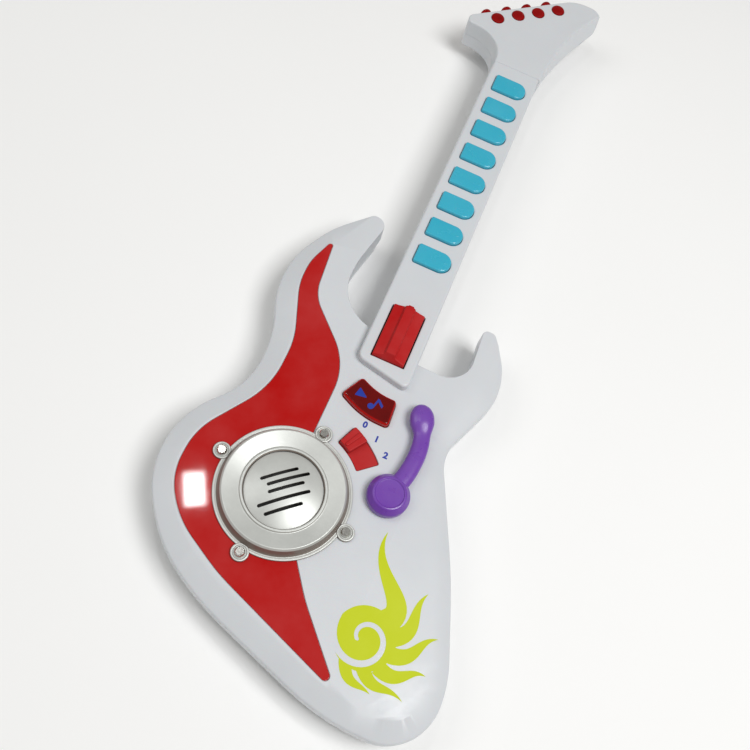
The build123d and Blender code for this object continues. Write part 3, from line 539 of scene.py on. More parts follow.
# Headstock's curved edge: x at the parting height, x at the face, y.
HEAD_LOW_Y, HEAD_HIGH_Y = 240.0, 354.0
FAR_X = 120
HEAD_SIDE = [
    (20.5, 20.5, 240.0), (19.6, 19.1, 252.0), (20.5, 19.4, 258.0), (21.6, 20.0, 264.8), (23.2, 20.9, 272.5),
    (24.9, 21.8, 279.7), (26.8, 22.8, 287.5), (28.9, 24.2, 294.8), (31.4, 26.1, 302.5), (34.8, 28.7, 311.9),
    (39.0, 33.2, 323.0), (42.6, 37.8, 332.0), (46.2, 42.3, 341.0), (51.4, 48.5, 354.0),
]


def slope_block(drop):
    """Everything under the body's bevel and its flat face, wider than the body."""
    spread = 6.0
    foot = BEVEL_Z - drop - (BODY_Z - BEVEL_Z) * spread / BEVEL_WIDTH
    rings = [lifted(outline(BEVEL_CORNERS, -spread), z) for z in (-2.0, foot)]
    rings.append(lifted(outline(BEVEL_CORNERS, BEVEL_WIDTH), BODY_Z - drop))
    return ringed("slope", rings, white)


def head_side(low, high, shift=0.0):
    """Slanted block beside the headstock's curved edge, above its parting line."""
    rings = []
    for z in (low, high):
        share = (z - NECK_PARTING_Z) / (NECK_Z - NECK_PARTING_Z)
        line = [(foot + (top - foot) * share + shift, y, z) for foot, top, y in HEAD_SIDE]
        rings.append(line + [(FAR_X, HEAD_HIGH_Y, z), (FAR_X, HEAD_LOW_Y, z)])
    return ringed("cutter", rings, black)


def head_underside(low, high, shift=0.0):
    """Slanted block under the headstock's curved edge. It fades in along the neck."""
    inward, lean, fade_length, fade_width = 0.6, 0.6, 26.0, 8.5
    rings = []
    for z in (low, high):
        line = []
        for foot, _, y in HEAD_SIDE:
            fade = max(0.0, 1 - (y - HEAD_LOW_Y) / fade_length)
            x = foot - inward + fade_width * fade * fade + lean * (z - NECK_PARTING_Z) + shift
            line.append((x, y, z))
        rings.append(line + [(FAR_X, HEAD_HIGH_Y, z), (FAR_X, HEAD_LOW_Y, z)])
    return ringed("cutter", rings, black)


def cushion(name, corners, low, top, radius, material, crown=0.0, depth=0.0, foot=(), step=5.0, parts=5):
    """Solid over an outline with a rounded upper edge.

    crown lifts its middle, over the given depth from the edge. foot lists (inset, height) of rings below it.
    """
    rings = [lifted(outline(corners, inset, step), z) for inset, z in foot]
    rings.append(lifted(outline(corners, 0.0, step), low))
    for part in range(parts + 1):
        turn = radians(90 * part / parts)
        inset = radius * (1 - cos(turn))
        rings.append(lifted(outline(corners, inset, step), top - radius + radius * sin(turn)))
    if crown:
        for share in (0.25, 0.5, 0.75, 1.0):
            inset = radius + (depth - radius) * share
            rings.append(lifted(outline(corners, inset, step), top + crown * (1 - (1 - share) ** 2)))
    return ringed(name, rings, material)


def dished(corners, low, top, lip=0.4, inset=0.0, step=4.0):
    """Cutter for a well in an underside, whose lower edge is rounded."""
    cutter = lipped(corners, -top, -low, lip, inset, step)
    for point in cutter.data.vertices:
        point.co.z = -point.co.z
    cutter.data.flip_normals()
    return cutter


def turned(name, corners, material, x=0.0, y=0.0, steps=72, arc_step=12.0):
    """Solid of revolution about a vertical axis from a closed outline of (radius, height, corner radius)."""
    profile = outline(corners, 0.0, arc_step)
    source = bmesh.new()
    wheels = []
    for radius, z in profile:
        wheel = []
        for i in range(steps):
            angle = 2 * pi * i / steps
            wheel.append(source.verts.new(row(x + radius * cos(angle), y + radius * sin(angle), z)))
        wheels.append(wheel)
    for k in range(len(wheels)):
        if profile[k - 1][0] < 1e-6 and profile[k][0] < 1e-6:
            continue
        for i in range(steps):
            source.faces.new((wheels[k - 1][i - 1], wheels[k - 1][i], wheels[k][i], wheels[k][i - 1]))
    bmesh.ops.remove_doubles(source, verts=source.verts, dist=2e-6)
    bmesh.ops.dissolve_degenerate(source, edges=source.edges, dist=2e-6)
    bmesh.ops.recalc_face_normals(source, faces=source.faces)
    return object_from(name, source, material)


def moved(thing, matrix):
    thing.data.transform(matrix)
    return thing


def tilted(thing, x, y, z, turn):
    """The object, modelled about the drawing's zero, turned and then set at a place."""
    home = Matrix.Translation(-ZERO)
    away = Matrix.Translation(row(x, y, z))
    return moved(thing, away @ turn @ home)


# Screws, as in the casing's wells.
BODY_SCREWS = [(-64, 45), (62, 4), (-60, -45), (54, -36), (-86, -125), (-40, -185), (88, -195), (68, -118)]
TONGUE_SCREWS = [(-9, -17), (9, -17)]
NECK_SCREWS = [(-10.0, 46.0), (0, 146.8), (0, 244.5)]
HEAD_SCREWS = [(-38, 286.5), (25, 336), (6, 286)]

# Speaker, slider, demo button and whammy bar.
SPEAKER_X, SPEAKER_Y = -24.2, -122.6
LUG_ANGLES = (-10, 80, 170, 260)
LUG_PCR = 43.0
SLIDER_IN_R, SLIDER_OUT_R = 45.1, 59.8
WHAMMY_X, WHAMMY_Y = 32.5, -100.0
DEMO_CORNERS = [
    (-9.6, -35.6, 2.4), (3.0, -41.45, 38.0), (15.6, -41.4, 2.4), (16.6, -59.4, 2.4), (-0.4, -59.4, 48.0),
    (-17.4, -51.0, 2.4),
]
DEMO_TOP = 35.7
KEY_COUNT = 8
KEY_PITCH = 24.0
TOP_KEY_Y = 223.3
KEY_WIDTH = 15.0
STRUM_HALF = 10.6
STRUM_LOW_Y, STRUM_HIGH_Y = -20.5, 19.0


def polar(radius, angle, x=SPEAKER_X, y=SPEAKER_Y):
    return x + radius * cos(radians(angle)), y + radius * sin(radians(angle))


def sector(inner, outer, start, end, corner=1.2):
    """Corners of a part of a ring about the speaker's axis."""
    corners = []
    parts = max(1, round(radians(end - start) * inner / 2.4))
    for radius, first, last in ((inner, start, end), (outer, end, start)):
        for part in range(parts + 1):
            angle = first + (last - first) * part / parts
            corners.append((*polar(radius, angle), corner if part in (0, parts) else 0))
    return corners


def lug_places():
    for angle in LUG_ANGLES:
        yield polar(LUG_PCR, angle)


def body_block(inset, low, high):
    return pillar(BODY_CORNERS, low, high, inset)


def runs_out(thing):
    """Places on the flat face where the edge between wall and bevel comes up to it, in millimetres."""
    source = opened(thing)
    places = []
    for edge in source.edges:
        heights = [(point.co - ZERO).z / MM for point in edge.verts]
        if max(heights) > BODY_Z - 0.05 > min(heights) and edge.calc_face_angle(0.0) > radians(12):
            places += [(point.co - ZERO) / MM for point, z in zip(edge.verts, heights) if z > BODY_Z - 0.05]
    source.free()
    return places


def make_body_front():
    piece = body_block(0.0, PARTING_Z, ABOVE_Z)
    combined(piece, "INTERSECT", slope_block(0.0))
    ends = runs_out(piece)

    seam_ease, face_ease, bevel_ease, fade_z = 0.25, 0.6, 1.3, 4
    clear_of_end, full_from_end = 2.0, 8.0

    def width(middle, turn):
        """Width of an edge's rounding, which fades out where edges run together."""
        if middle.z < PARTING_Z + 0.5:
            return seam_ease
        near = min((middle - place).length for place in ends)
        if middle.z > BODY_Z - 0.05:
            full = face_ease if turn > 40 else 0.0
        else:
            full = bevel_ease * max(0.0, 1 - (middle.z - BEVEL_Z) / fade_z)
        return full * max(0.0, min(1.0, (near - clear_of_end) / full_from_end))

    eased(piece, bevel_ease, 4, 12.0, width)
    cavity = body_block(WALL, PARTING_Z, ABOVE_Z)
    combined(cavity, "INTERSECT", slope_block(WALL))
    hollowed(piece, cavity, PARTING_Z)
    cuts = [
        lipped(PANEL_CORNERS, BODY_Z - 1.0, BODY_Z, 0.35, -0.3),
        rod(SPEAKER_X, SPEAKER_Y, 24.5, INSIDE_Z, ABOVE_Z),
        lipped(DEMO_CORNERS, INSIDE_Z, BODY_Z, 0.5, -0.35),
        lipped(sector(SLIDER_IN_R, SLIDER_OUT_R, 41.2, 68), INSIDE_Z, BODY_Z, 0.5),
        pillar(square(-13, 13, -24.8, 6), INSIDE_Z, ABOVE_Z),
        rod(WHAMMY_X, WHAMMY_Y, 5.06, INSIDE_Z, ABOVE_Z),
    ]
    cuts += [rod(x, y, 1.5, INSIDE_Z, ABOVE_Z) for x, y in lug_places()]
    cut(piece, *cuts)
    piece.name = "body_front"
    return stands_for(shaded(piece, 20), white, "casing", "body_front_shell")


def make_body_rear():
    """Body's back, with a boss and a sunk well for each screw."""
    draw, edge = 2.0, 2.4
    rings = []
    for part in range(6):
        turn = radians(90 * part / 5)
        rings.append(lifted(outline(BODY_CORNERS, draw + edge * (1 - sin(turn))), edge * (1 - cos(turn))))
    for inset, z in ((0.15, PARTING_Z - 0.6), (0.15, PARTING_Z - 0.15), (0.4, PARTING_Z)):
        rings.append(lifted(outline(BODY_CORNERS, inset), z))
    piece = ringed("body_rear", rings, white)
    cut(piece, body_block(4.0, WALL, PARTING_Z + 1))
    for x, y in BODY_SCREWS + TONGUE_SCREWS:
        boss = rod(x, y, 4.0, 1.0, PARTING_Z - 0.01, 10)
        combined(boss, "INTERSECT", body_block(1.0, 0.5, PARTING_Z - 0.01))
        well = dished(round_corners(x, y, 3.1), 0, 6.0, 0.5, 0, 10)
        fused(piece, boss)
        cut(piece, well, rod(x, y, 1.55, 5, 20, 15))
    cut(piece, dished(square(5.6, 68.4, -200.4, -149.6, 2.0), 0, 9.0, 0.5))
    return stands_for(shaded(piece, 28), white, "casing", "body_rear_shell")


def make_battery_door():
    """Door with a row of grip ribs and a sunk screw."""
    corners = square(5.9, 68.1, -200.1, -149.9, 1.8)
    door = moved(cushion("door", corners, -2.2, -0.05, 0.4, white), Matrix.Scale(-1, 4, (0, 0, 1)))
    door.data.flip_normals()
    for k in range(5):
        y = -193.5 + 3.2 * k
        groove = [(24.0, y, 0.7), (50.0, y, 0.7), (50.0, y + 1.5, 0.7), (24.0, y + 1.5, 0.7)]
        cut(door, dished(groove, 0, 0.7, 0.3))
    cut(door, dished(round_corners(37, -153.0, 3.0), 0, 1.2, 0.3))
    cut(door, rod(37, -153.0, 1.3, -1, 4))
    return stands_for(shaded(door, 28), white, "casing", "battery_door")


def key_corners(index):
    low = TOP_KEY_Y - index * KEY_PITCH
    high = low + KEY_WIDTH
    return [(-12.0, low, 1.5), (12.7, low, 7.2), (12.7, high, 7.2), (-12.0, high, 1.5)]


def make_neck_front():
    above_seam = pillar(square(-60, 60, SEAM_Y, 330), 0, 60)
    piece = cushion("neck_front", NECK_CORNERS, NECK_PARTING_Z, NECK_Z, 1.8, white, parts=6)
    hollow = pillar(NECK_CORNERS, NECK_PARTING_Z - 1, NECK_Z - WALL, WALL)
    cut(piece, hollow, body_block(-0.2, -1, BODY_Z), above_seam)
    for index in range(KEY_COUNT):
        cut(piece, lipped(key_corners(index), 30, NECK_Z, 0.4, -0.35))
    strum_gap = square(-STRUM_HALF - 0.8, STRUM_HALF + 0.8, STRUM_LOW_Y - 0.4, STRUM_HIGH_Y + 0.4, 0.6)
    cut(piece, lipped(strum_gap, 30, NECK_Z, 0.4))
    return stands_for(shaded(piece, 28), white, "casing", "neck_front_shell")


def make_neck_rear():
    """Neck's and headstock's back in one, with a rounded edge."""
    edge = 3
    rings = []
    for part in range(7):
        turn = radians(90 * part / 6)
        z = NECK_REAR_Z + edge * (1 - cos(turn))
        rings.append(lifted(outline(REAR_CORNERS, edge * (1 - sin(turn))), z))
    for inset, z in ((0, NECK_PARTING_Z - 0.6), (0.15, NECK_PARTING_Z - 0.3), (0.35, NECK_PARTING_Z - 0.02)):
        rings.append(lifted(outline(REAR_CORNERS, inset), z))
    piece = ringed("neck_rear", rings, white)
    cut(piece, head_underside(10, NECK_PARTING_Z - 0.02))
    hollow = pillar(REAR_CORNERS, NECK_REAR_Z + WALL, 40, WALL)
    cut(hollow, pillar(square(-30, 30, -40, 8), 0, 60), head_underside(10, 45, -SLANT * WALL))
    cut(piece, hollow, body_block(-0.2, -1, BODY_Z))
    fused(piece, pillar(square(-12.5, 12.5, -24.4, 8), 19, 22))
    for x, y in NECK_SCREWS + HEAD_SCREWS:
        boss = rod(x, y, 3.6, NECK_REAR_Z + 1, NECK_PARTING_Z - 0.02, 10)
        well = dished(round_corners(x, y, 2.7), NECK_REAR_Z, 16.5, 0.4, 0, 10)
        fused(piece, boss)
        cut(piece, well, rod(x, y, 1.25, 15, 30, 15))
    return stands_for(shaded(piece, 28), white, "casing", "neck_rear_shell")


# Headstock's slanted edge, with its lamps and knobs.
EDGE_START = (-46.4, 290.3)
EDGE_ANGLE = 40.8
PEG_STEPS = (15.0, 32.9, 50.7, 68.5)
PEG_INSET = 7.7
LENS_R = 5.15


def along_edge(step, outward):
    """Place along the headstock's slanted edge and outwards from it."""
    turn = radians(EDGE_ANGLE)
    x = EDGE_START[0] + step * cos(turn) - outward * sin(turn)
    y = EDGE_START[1] + step * sin(turn) + outward * cos(turn)
    return x, y


def make_head():
    below_seam = pillar(square(-60, 60, 200, SEAM_Y + 0.12), 0, 60)
    piece = pillar(HEAD_CORNERS, NECK_PARTING_Z, NECK_Z)
    cut(piece, head_side(24, 39), below_seam)

    seam_ease, neck_ease, narrower, narrow_length = 0.2, 1.8, 0.6, 25

    def width(middle, turn):
        """Width of an edge's rounding, the neck's own at the seam."""
        if middle.z > NECK_Z - 0.05 and middle.y > SEAM_Y + 0.2:
            return neck_ease - narrower * max(0.0, min(1.0, (middle.y - SEAM_Y) / narrow_length))
        return seam_ease if middle.z < NECK_PARTING_Z + 0.05 else 0.0

    eased(piece, neck_ease, 5, 12.0, width)
    hollow = pillar(HEAD_CORNERS, NECK_PARTING_Z - 1, NECK_Z - WALL, WALL)
    end_wall = pillar(square(-60, 60, 200, SEAM_Y + WALL), 0, 60)
    cut(hollow, end_wall, head_side(INSIDE_Z, ABOVE_Z, -SLANT * WALL))
    cut(piece, hollow)
    piece.name = "headstock_front"
    for step in PEG_STEPS:
        x, y = along_edge(step, -PEG_INSET)
        cut(piece, lipped(round_corners(x, y, LENS_R + 0.05), 30, NECK_Z, 0.4, 0, 6))
    stands_for(shaded(piece, 28), white, "casing", "headstock_cover")


def make_lenses():
    parts = []
    for step in PEG_STEPS:
        x, y = along_edge(step, -PEG_INSET)
        dome = [
            (0, NECK_Z - 3.0, 0), (LENS_R - 0.15, NECK_Z - 3.0, 0.2), (LENS_R - 0.15, NECK_Z + 0.7, 0.7),
            (LENS_R - 2.2, NECK_Z + 1.4, 3.0), (0, NECK_Z + 1.65, 0),
        ]
        parts.append(turned("lens", dome, lens_red, x, y, 48, 6.0))
    lenses = joined("headstock_lamps_cover", parts)
    stands_for(shaded(lenses, 40), lens_red, "casing", "face_lenses")


def joined(name, parts):
    """One object from several."""
    source = bmesh.new()
    for part in parts:
        source.from_mesh(part.data)
    material = parts[0].data.materials[0]
    for part in parts:
        bpy.data.objects.remove(part)
    return object_from(name, source, material)


def make_knobs():
    parts = []
    for step in PEG_STEPS:
        knob = [
            (0, -3.6, 0), (2.2, -3.6, 0.2), (2.2, 0.1, 0.1), (4.3, 0.1, 0.3), (4.3, 1.5, 0.5),
            (3.7, 2.0, 0.3), (4.3, 2.7, 0.6), (4.3, 6.4, 2.8), (2.0, 8.3, 2.0), (0, 8.4, 0),
        ]
        part = turned("knob", knob, dark_red, 0, 0, 48, 8.0)
        x, y = along_edge(step - 2.7, 0.0)
        turn = turn_about("Z", EDGE_ANGLE) @ turn_about("X", -90)
        parts.append(tilted(part, x, y, 30.0, turn))
    stands_for(shaded(joined("tuning_knobs", parts), 40), lens_red, "casing", "edge_pegs")


def make_panel():
    panel = cushion("pickguard", PANEL_CORNERS, BODY_Z - 0.98, BODY_Z, 0.3, panel_red, step=3.0)
    cuts = [rod(SPEAKER_X, SPEAKER_Y, 38.6, INSIDE_Z, ABOVE_Z)]
    cuts += [rod(x, y, 1.6, INSIDE_Z, ABOVE_Z) for x, y in lug_places()]
    cut(panel, *cuts)
    stands_for(shaded(panel, 28), panel_red, "casing", "red_panel")


# ------------------------------------------------------------------ decal
DECAL_X, DECAL_Y = 50.5, -179.7
DECAL_R = 17.9

# Strokes: width at the root, then the four points of the curve that each follows.
FLAMES = [
    (14.0, (56.6, -168.5), (74.6, -152.2), (35.9, -145.5), (40.7, -119.0)),
    (10.1, (64.5, -173.5), (79.6, -166.2), (67.3, -154.5), (75.1, -142.7)),
    (9.5, (66.7, -182.5), (82.4, -181.4), (77.4, -168.5), (88.9, -164.0)),
    (9.0, (62.8, -190.9), (77.4, -197.6), (78.5, -183.6), (89.1, -185.3)),
    (7.8, (55.5, -194.8), (65.0, -206.0), (70.6, -196.5), (81.8, -202.6)),
    (7.3, (44.9, -194.2), (49.4, -207.7), (56.6, -202.1), (63.9, -205.8)),
]


def flame(width, start, first, second, end, parts=22):
    """Outline of a brush stroke along a cubic curve, wide at its start and pointed at its end."""
    left, right = [], []
    for part in range(parts + 1):
        t = part / parts
        weights = ((1 - t) ** 3, 3 * t * (1 - t) ** 2, 3 * t * t * (1 - t), t ** 3)
        slopes = (-3 * (1 - t) ** 2, 3 * (1 - t) * (1 - 3 * t), 3 * t * (2 - 3 * t), 3 * t * t)
        curve = [Vector(point) for point in (start, first, second, end)]
        place = sum((point * w for point, w in zip(curve, weights)), Vector((0, 0)))
        along = sum((point * w for point, w in zip(curve, slopes)), Vector((0, 0))).normalized()
        half = width / 2 * (1 - t ** 1.3) ** 0.9
        left.append((place.x - along.y * half, place.y + along.x * half, 0))
        if part < parts:
            right.append((place.x + along.y * half, place.y - along.x * half, 0))
    return left + right[::-1]


def curl(parts=48):
    """Outline of the curl that is left out of the disc."""
    start_angle, sweep = 150, 430
    start_r, inwards = 20.6, 16.6
    outer, inner = [], []
    for part in range(parts + 1):
        share = part / parts
        angle = start_angle + sweep * share
        middle = start_r - inwards * share ** 0.75
        half = (2.1 - 1.0 * share) if part < parts else 0.35
        outer.append((*polar(middle + half, angle, DECAL_X, DECAL_Y), 0))
        inner.append((*polar(middle - half, angle, DECAL_X, DECAL_Y), 0))
    return outer + inner[::-1]


def make_decal():
    """Curled sun with flames blown to one side."""
    low, high = BODY_Z - 0.002, BODY_Z + 0.09
    piece = rod(DECAL_X, DECAL_Y, DECAL_R, low, high)
    for stroke in FLAMES:
        fused(piece, pillar(flame(*stroke), low, high))
    cut(piece, pillar(curl(), low - 1, high + 1))
    piece.name = "flame_film"
    stands_for(shaded(piece, 28), film, "casing", "flame_decal")


# ------------------------------------------------------------------ speaker
def make_bezel():
    """Silver ring with a dished inside and four lugs."""
    top = BODY_Z
    ring = [
        (36.0, top, 0), (40.6, top, 0), (40.6, top + 1.4, 0.5), (39.4, top + 1.4, 0.4),
        (38.5, top + 0.9, 0.5), (36.5, top + 6.3, 0.8), (35.3, top + 7.4, 0.7), (34.2, top + 7.1, 0.5),
        (25.8, top + 5.0, 0.6),
        (25.1, top + 5.9, 0.5), (23.9, top + 5.9, 0.5), (23.3, top + 4.4, 0.3), (24.2, top + 3.4, 0.2),
        (34.0, top + 5.4, 0.3),
    ]
    bezel = turned("speaker_ring", ring, silver, SPEAKER_X, SPEAKER_Y, 144)
    for x, y in lug_places():
        lug = [
            (0, top, 0), (5.3, top, 0), (5.3, top + 1.9, 0.6), (4.3, top + 1.9, 0.4), (3.7, top + 1.3, 0.4),
            (0, top + 1.3, 0),
        ]
        ear = turned("ear", lug, silver, x, y, 48)
        cut(ear, rod(SPEAKER_X, SPEAKER_Y, 38.4, top - 2, top + 9))
        fused(bezel, ear)
        cut(bezel, rod(x, y, 1.6, top - 2, top + 6))
    stands_for(shaded(bezel, 32), silver, "casing", "speaker_bezel")


# Slots in the grille: place of the middle and length.
GRILLE_SLOTS = [(-6.0, 7.0, 23), (0.0, 6.2, 26), (0.9, 1.0, 22), (2.4, -5.4, 31.6), (4.6, -11.0, 23)]


def make_grille():
    """Thin dome with five slots."""
    radius, rim, crown, thick = 23.1, BODY_Z + 3.9, BODY_Z + 8.15, 1.3
    rise = crown - rim
    ball = (radius ** 2 + rise ** 2) / (2 * rise)

    points = []
    for face in (ball, ball - thick):
        reach = atan2(radius, sqrt(ball ** 2 - radius ** 2))
        stations = [1.2 / face] + [reach * part / 15 for part in range(1, 16)]
        if face < ball:
            stations.reverse()
        points += [(face * sin(turn), crown - ball + face * cos(turn), 0) for turn in stations]
    points += [(0, points[-1][1], 0), (0, points[0][1], 0)]
    dome = turned("speaker_dome", points, silver, SPEAKER_X, SPEAKER_Y, 80)
    for along, across, length in GRILLE_SLOTS:
        cutter = pillar(square(-length / 2, length / 2, -1.0, 1.0, 0.99), BODY_Z, BODY_Z + 12)
        tilted(cutter, SPEAKER_X + along, SPEAKER_Y + across, 0, turn_about("Z", 41))
        cut(dome, cutter)
    centre = row(SPEAKER_X, SPEAKER_Y, crown - ball)
    stands_for(rounded(shaded(dome, 30), centre), silver, "casing", "speaker_grille")


# ------------------------------------------------------------------ controls
def make_keys():
    """Keys with a foot under the face and a dot near the round end."""
    for index in range(KEY_COUNT):
        corners = key_corners(index)
        low = corners[0][1]
        foot = ((-1.2, 34.0), (-1.2, 35.2), (0.0, 35.21))
        piece = cushion(f"key_{index + 1}_cap", corners, 36.0, 40.2, 1.1, key_blue, 0.2, 6.5, foot)
        profile = [(0, 39.9, 0), (1.6, 39.9, 0), (0.9, 40.5, 1.6), (0, 40.5, 0)]
        dot = turned("dot", profile, key_blue, 8.2, low + 7.5, 24, 6.0)
        fused(piece, dot)
        stands_for(shaded(piece, 35), key_blue, f"key_{index + 1}", f"key_{index + 1}")


def make_demo():
    foot = ((-1.3, 27.9), (-1.3, 29.2), (0.0, 29.21))
    piece = cushion("demo_pillow", DEMO_CORNERS, 30, DEMO_TOP, 1.7, dark_red, foot=foot, step=6.0, parts=7)
    stands_for(shaded(piece, 40), dark_red, "demo_button", "demo_button")


def make_strum():
    """Rocker with hollow flanks, a flat ridge and a ramp at its lower end."""
    foot_z, edge_z, ridge_half = 35.0, 40.0, 3.9
    flank = [(-STRUM_HALF, foot_z), (-STRUM_HALF, edge_z)]
    for part in range(1, 9):
        t = part / 8
        flank.append((-STRUM_HALF + (STRUM_HALF - ridge_half) * t, edge_z + 0.3 + 1.7 * t ** 1.6))
    flank += [(-3.0, 44.0), (3.0, 44.0)]
    side = flank + [(-x, z) for x, z in flank[-3::-1]]
    rings = [[(x, y, z) for x, z in side] for y in (STRUM_LOW_Y, STRUM_HIGH_Y)]
    bar = ringed("strum_rocker", rings, part_red)
    ramp = pillar(square(-20, 20, 0, 30), 0, 12)
    tilted(ramp, 0, STRUM_LOW_Y, NECK_Z + 1.2, turn_about("X", 58))
    cut(bar, ramp)
    rib = pillar(square(-1.9, 1.9, STRUM_HIGH_Y - 3, STRUM_HIGH_Y + 1.3), NECK_Z + 1.0, 43.6)
    keel = pillar(square(-3.5, 3.5, STRUM_LOW_Y + 1.2, STRUM_HIGH_Y - 1.2), 31.5, 35.8)
    fused(bar, rib, keel)
    eased(bar, 0.55, 3, 25)
    stands_for(shaded(bar, 40), part_red, "strum_bar", "strum_bar")


def make_slider():
    """Curved plate with a raised grip: a rib between two grooves at its upper end."""
    plate = pillar(sector(44.6, 61.1, 39.5, 83.5, 0.8), 29.1, 30.5)

    def layer(gap, start, end, corner, low, top, radius):
        """Part of the ring, clear of the window's sides by the gap."""
        corners = sector(SLIDER_IN_R + gap, SLIDER_OUT_R - gap, start, end, corner)
        return cushion("layer", corners, low, top, radius, part_red)

    step = layer(0.4, 41.7, 67.5, 0.6, 30.4, 31.2, 0.3)
    grip = layer(0.6, 56.0, 67.2, 1.0, 30.6, 35.4, 0.8)
    rib = layer(1.3, 60.2, 63.0, 0.8, 33.0, 36.2, 0.6)
    fused(grip, rib)
    fused(plate, step, grip)
    plate.name = "volume_slider"
    stands_for(shaded(plate, 40), part_red, "switch_slider", "switch_slider")


# Places that the middle of the whammy bar's arm passes through, from its hub to the bulb's end.
WHAMMY_STATIONS = [
    (30.5, -104.0), (33.4, -96.2), (36.9, -86.6), (38.6, -77.2), (39.1, -67.0), (37.6, -57.2), (33.8, -47.0),
    (30.2, -38.0), (26.9, -29.6),
]


# The bulb closes over its last millimetres, and its rings stand closer there.
CLOSING = 9.5
STATION_GAP = 1.3
BULB_LENGTH = 21.0
BULB_HALF = 7.6
ARM_HALF = 5.2


def whammy_path(steps=24):
    """Stations of the arm and the bulb: place, half width, height of the middle, half height."""
    places = []
    for k in range(1, len(WHAMMY_STATIONS) - 2):
        before, start, end, after = (Vector(WHAMMY_STATIONS[k + i]) for i in (-1, 0, 1, 2))
        last = k == len(WHAMMY_STATIONS) - 3
        for part in range(steps + last):
            t = part / steps
            places.append(0.5 * (
                2 * start + (end - before) * t + (2 * before - 5 * start + 4 * end - after) * t ** 2
                + (3 * start - before - 3 * end + after) * t ** 3
            ))
    places.reverse()
    walked = [0.0]
    for first, second in zip(places, places[1:]):
        walked.append(walked[-1] + (second - first).length)
    marks = [CLOSING * (1 - cos(radians(90 * part / 12))) for part in range(12)]
    marks += [CLOSING + STATION_GAP * part for part in range(int((walked[-1] - CLOSING) / STATION_GAP) + 1)]
    stations = []
    k = 0
    for left in marks:
        while walked[k + 1] < left:
            k += 1
        place = places[k].lerp(places[k + 1], (left - walked[k]) / (walked[k + 1] - walked[k]))
        closing = sqrt(max(0.0, 1 - max(0.0, 1 - left / CLOSING) ** 2))
        swell = max(0.0, min(1.0, (BULB_LENGTH - left) / CLOSING))
        swell = swell * swell * (3 - 2 * swell)
        narrow = ARM_HALF + 0.4 * min(1.0, max(0.0, (left - 24) / 26))
        width = (narrow + (BULB_HALF - narrow) * swell) * closing
        height = (3.5 + 1.2 * swell) * closing
        stations.append((place.x, place.y, width, 4.9 + 0.6 * swell, height))
    return stations[::-1]


def make_whammy():
    """Hub with a dished top, arm and bulb in one, on a short shaft."""
    stations = whammy_path()
    rings = []
    least = 0.02
    for k, (x, y, width, middle, height) in enumerate(stations):
        before, after = stations[max(k - 1, 0)], stations[min(k + 1, len(stations) - 1)]
        along = Vector((after[0] - before[0], after[1] - before[1])).normalized()
        across = Vector((-along.y, along.x))
        ring = []
        for i in range(32):
            angle = 2 * pi * i / 32
            side = abs(cos(angle)) ** 0.9 * (1 if cos(angle) > 0 else -1) * max(width, least)
            lift = abs(sin(angle)) ** 0.9 * (1 if sin(angle) > 0 else -1) * max(height, least)
            ring.append((x + across.x * side, y + across.y * side, BODY_Z + middle + lift))
        rings.append(ring)
    arm = ringed("arm", rings, purple)
    hub = [
        (0, BODY_Z + 0.6, 0), (12.4, BODY_Z + 0.6, 0.3), (13.0, BODY_Z + 1.4, 0.6), (13.0, BODY_Z + 5.4, 2.6),
        (10.2, BODY_Z + 8.9, 1.4), (9.0, BODY_Z + 9.2, 0.4), (8.5, BODY_Z + 8.5, 0.5), (0, BODY_Z + 8.4, 0),
    ]
    piece = turned("whammy_handle", hub, purple, WHAMMY_X, WHAMMY_Y, 96, 8.0)
    shaft = rod(WHAMMY_X, WHAMMY_Y, 5.0, 23.7, BODY_Z + 1)
    top = rod(WHAMMY_X, WHAMMY_Y, 9.2, BODY_Z + 8.55, BODY_Z + 12)
    cut(arm, top)
    fused(piece, arm, shaft)
    stands_for(shaded(piece, 32), purple, "whammy", "whammy_bar")


# ------------------------------------------------------------------ printed marks
def make_marks():
    """Numbers 0, 1 and 2 beside the slider's three places."""
    for text, angle in (("0", 65), ("1", 55), ("2", 45)):
        curve = bpy.data.curves.new("mark", "FONT")
        curve.body = text
        curve.size = 5.6 * MM
        curve.extrude = 0.03 * MM
        curve.offset = 0.26 * MM
        curve.align_x = "CENTER"
        curve.align_y = "CENTER"
        label = shown(bpy.data.objects.new(f"mark_{text}", curve))
        bpy.context.view_layer.update()
        graph = bpy.context.evaluated_depsgraph_get()
        mesh = bpy.data.meshes.new_from_object(label.evaluated_get(graph))
        bpy.data.objects.remove(label)
        x, y = polar(65.5, angle)
        mesh.transform(Matrix.Translation(row(x, y, BODY_Z + 0.03)))
        mark = shown(bpy.data.objects.new(f"mark_{text}", mesh))
        tidied(mark, 0.001)
        dress(mark, print_blue)
        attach(mark, "casing")


def make_demo_mark():
    """Play triangle and a note, printed on the demo button."""
    low, high = DEMO_TOP - 0.1, DEMO_TOP + 0.06
    turn = turn_about("Z", -14)
    symbols = (
        [(-9.0, -3.2, 0.4), (-9.0, 3.2, 0.4), (-1.6, 0.0, 0.4)],
        round_corners(3.0, -2.9, 2.0),
        square(4.0, 5.2, -2.9, 4.2, 0.1),
        [(5.19, 4.2, 0.1), (9.2, 1.9, 0.2), (9.2, 0.0, 0.2), (5.19, 2.3, 0.1)],
    )
    mark, *parts = [pillar(corners, low, high) for corners in symbols]
    fused(mark, *parts)
    mark.name = "demo_print"
    tilted(mark, -0.4, -48.4, 0, turn)
    dress(mark, print_blue)
    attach(mark, "demo_button")


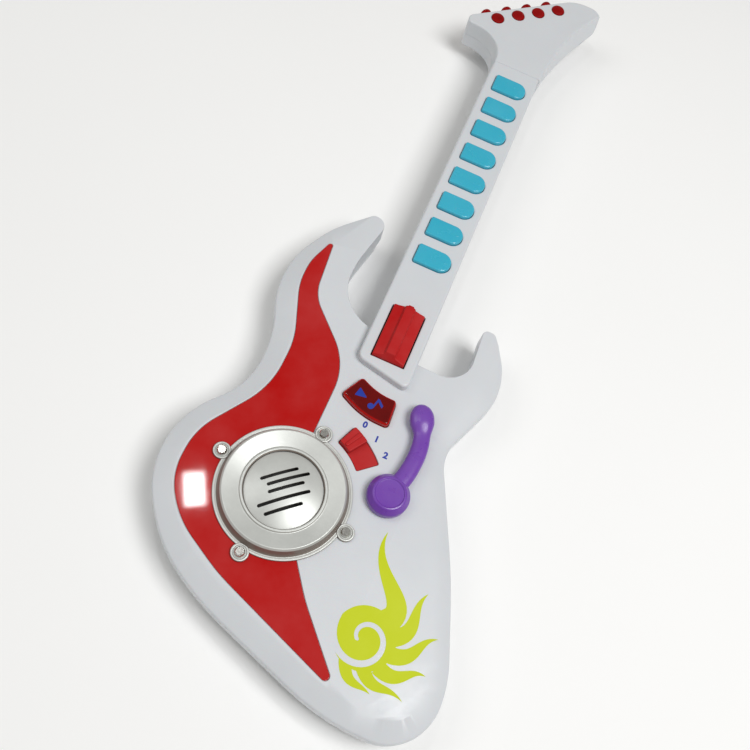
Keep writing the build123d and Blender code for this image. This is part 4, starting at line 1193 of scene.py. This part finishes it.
make_body_front()
make_body_rear()
make_battery_door()
make_neck_front()
make_neck_rear()
make_head()
make_lenses()
make_knobs()
make_panel()
make_decal()
make_bezel()
make_grille()
make_keys()
make_demo()
make_demo_mark()
make_strum()
make_slider()
make_whammy()
make_marks()


# ------------------------------------------------------------------ stage
def area_light(name, place, target, size, power):
    lamp = bpy.data.lights.new(name, "AREA")
    lamp.shape = "RECTANGLE"
    lamp.size, lamp.size_y = size
    lamp.energy = power
    thing = shown(bpy.data.objects.new(name, lamp))
    thing.location = place
    thing.rotation_euler = (Vector(target) - Vector(place)).to_track_quat("-Z", "Y").to_euler()


def make_stage():
    """Pale floor, soft light from the right and the left, and a pale surround.

    The small patch light shows as a window's reflection on the glossy panel.
    """
    source = bmesh.new()
    bmesh.ops.create_grid(source, x_segments=1, y_segments=1, size=6.0)
    ground = Nodes("floor")
    ground.paint(ground.blend(ground.noise(3.0, 3.0), (0.955, 0.955, 0.95, 1), (0.97, 0.97, 0.965, 1)))
    ground.set(Roughness=0.8)
    floor = object_from("floor", source, ground.material)
    area_light("top_light", (0.78, -0.25, 1.7), (0, -0.05, 0), (0.8, 0.9), 21.0)
    area_light("left_light", (-1.3, -0.1, 1.6), (0, 0, 0), (1.0, 1.0), 6.0)
    area_light("patch_light", (-0.217, 0.082, 1.05), (-0.08, -0.16, 0.03), (0.036, 0.056), 0.5)
    world = bpy.data.worlds.new("surround")
    world.use_nodes = True
    background = world.node_tree.nodes["Background"]
    background.inputs["Color"].default_value = (1.0, 0.99, 0.95, 1)
    background.inputs["Strength"].default_value = 0.3
    bpy.context.scene.world = world
    bpy.context.scene.view_settings.view_transform = "Standard"


def make_camera():
    """Camera above the body's lower end, rolled so that the neck leans to the right."""
    data = bpy.data.cameras.new("camera")
    data.lens = 43.7
    data.sensor_width = 36.0
    data.clip_start = 0.01
    camera = shown(bpy.data.objects.new("camera", data))
    right = Vector((0.9137, 0.3663, 0.1760))
    up = Vector((-0.4063, 0.8148, 0.4135))
    back = right.cross(up).normalized()
    turn = Matrix((right, up, back)).transposed()
    camera.matrix_world = Matrix.Translation((-0.00066, -0.34473, 0.53837)) @ turn.to_4x4()
    bpy.context.scene.camera = camera


make_stage()
make_camera()
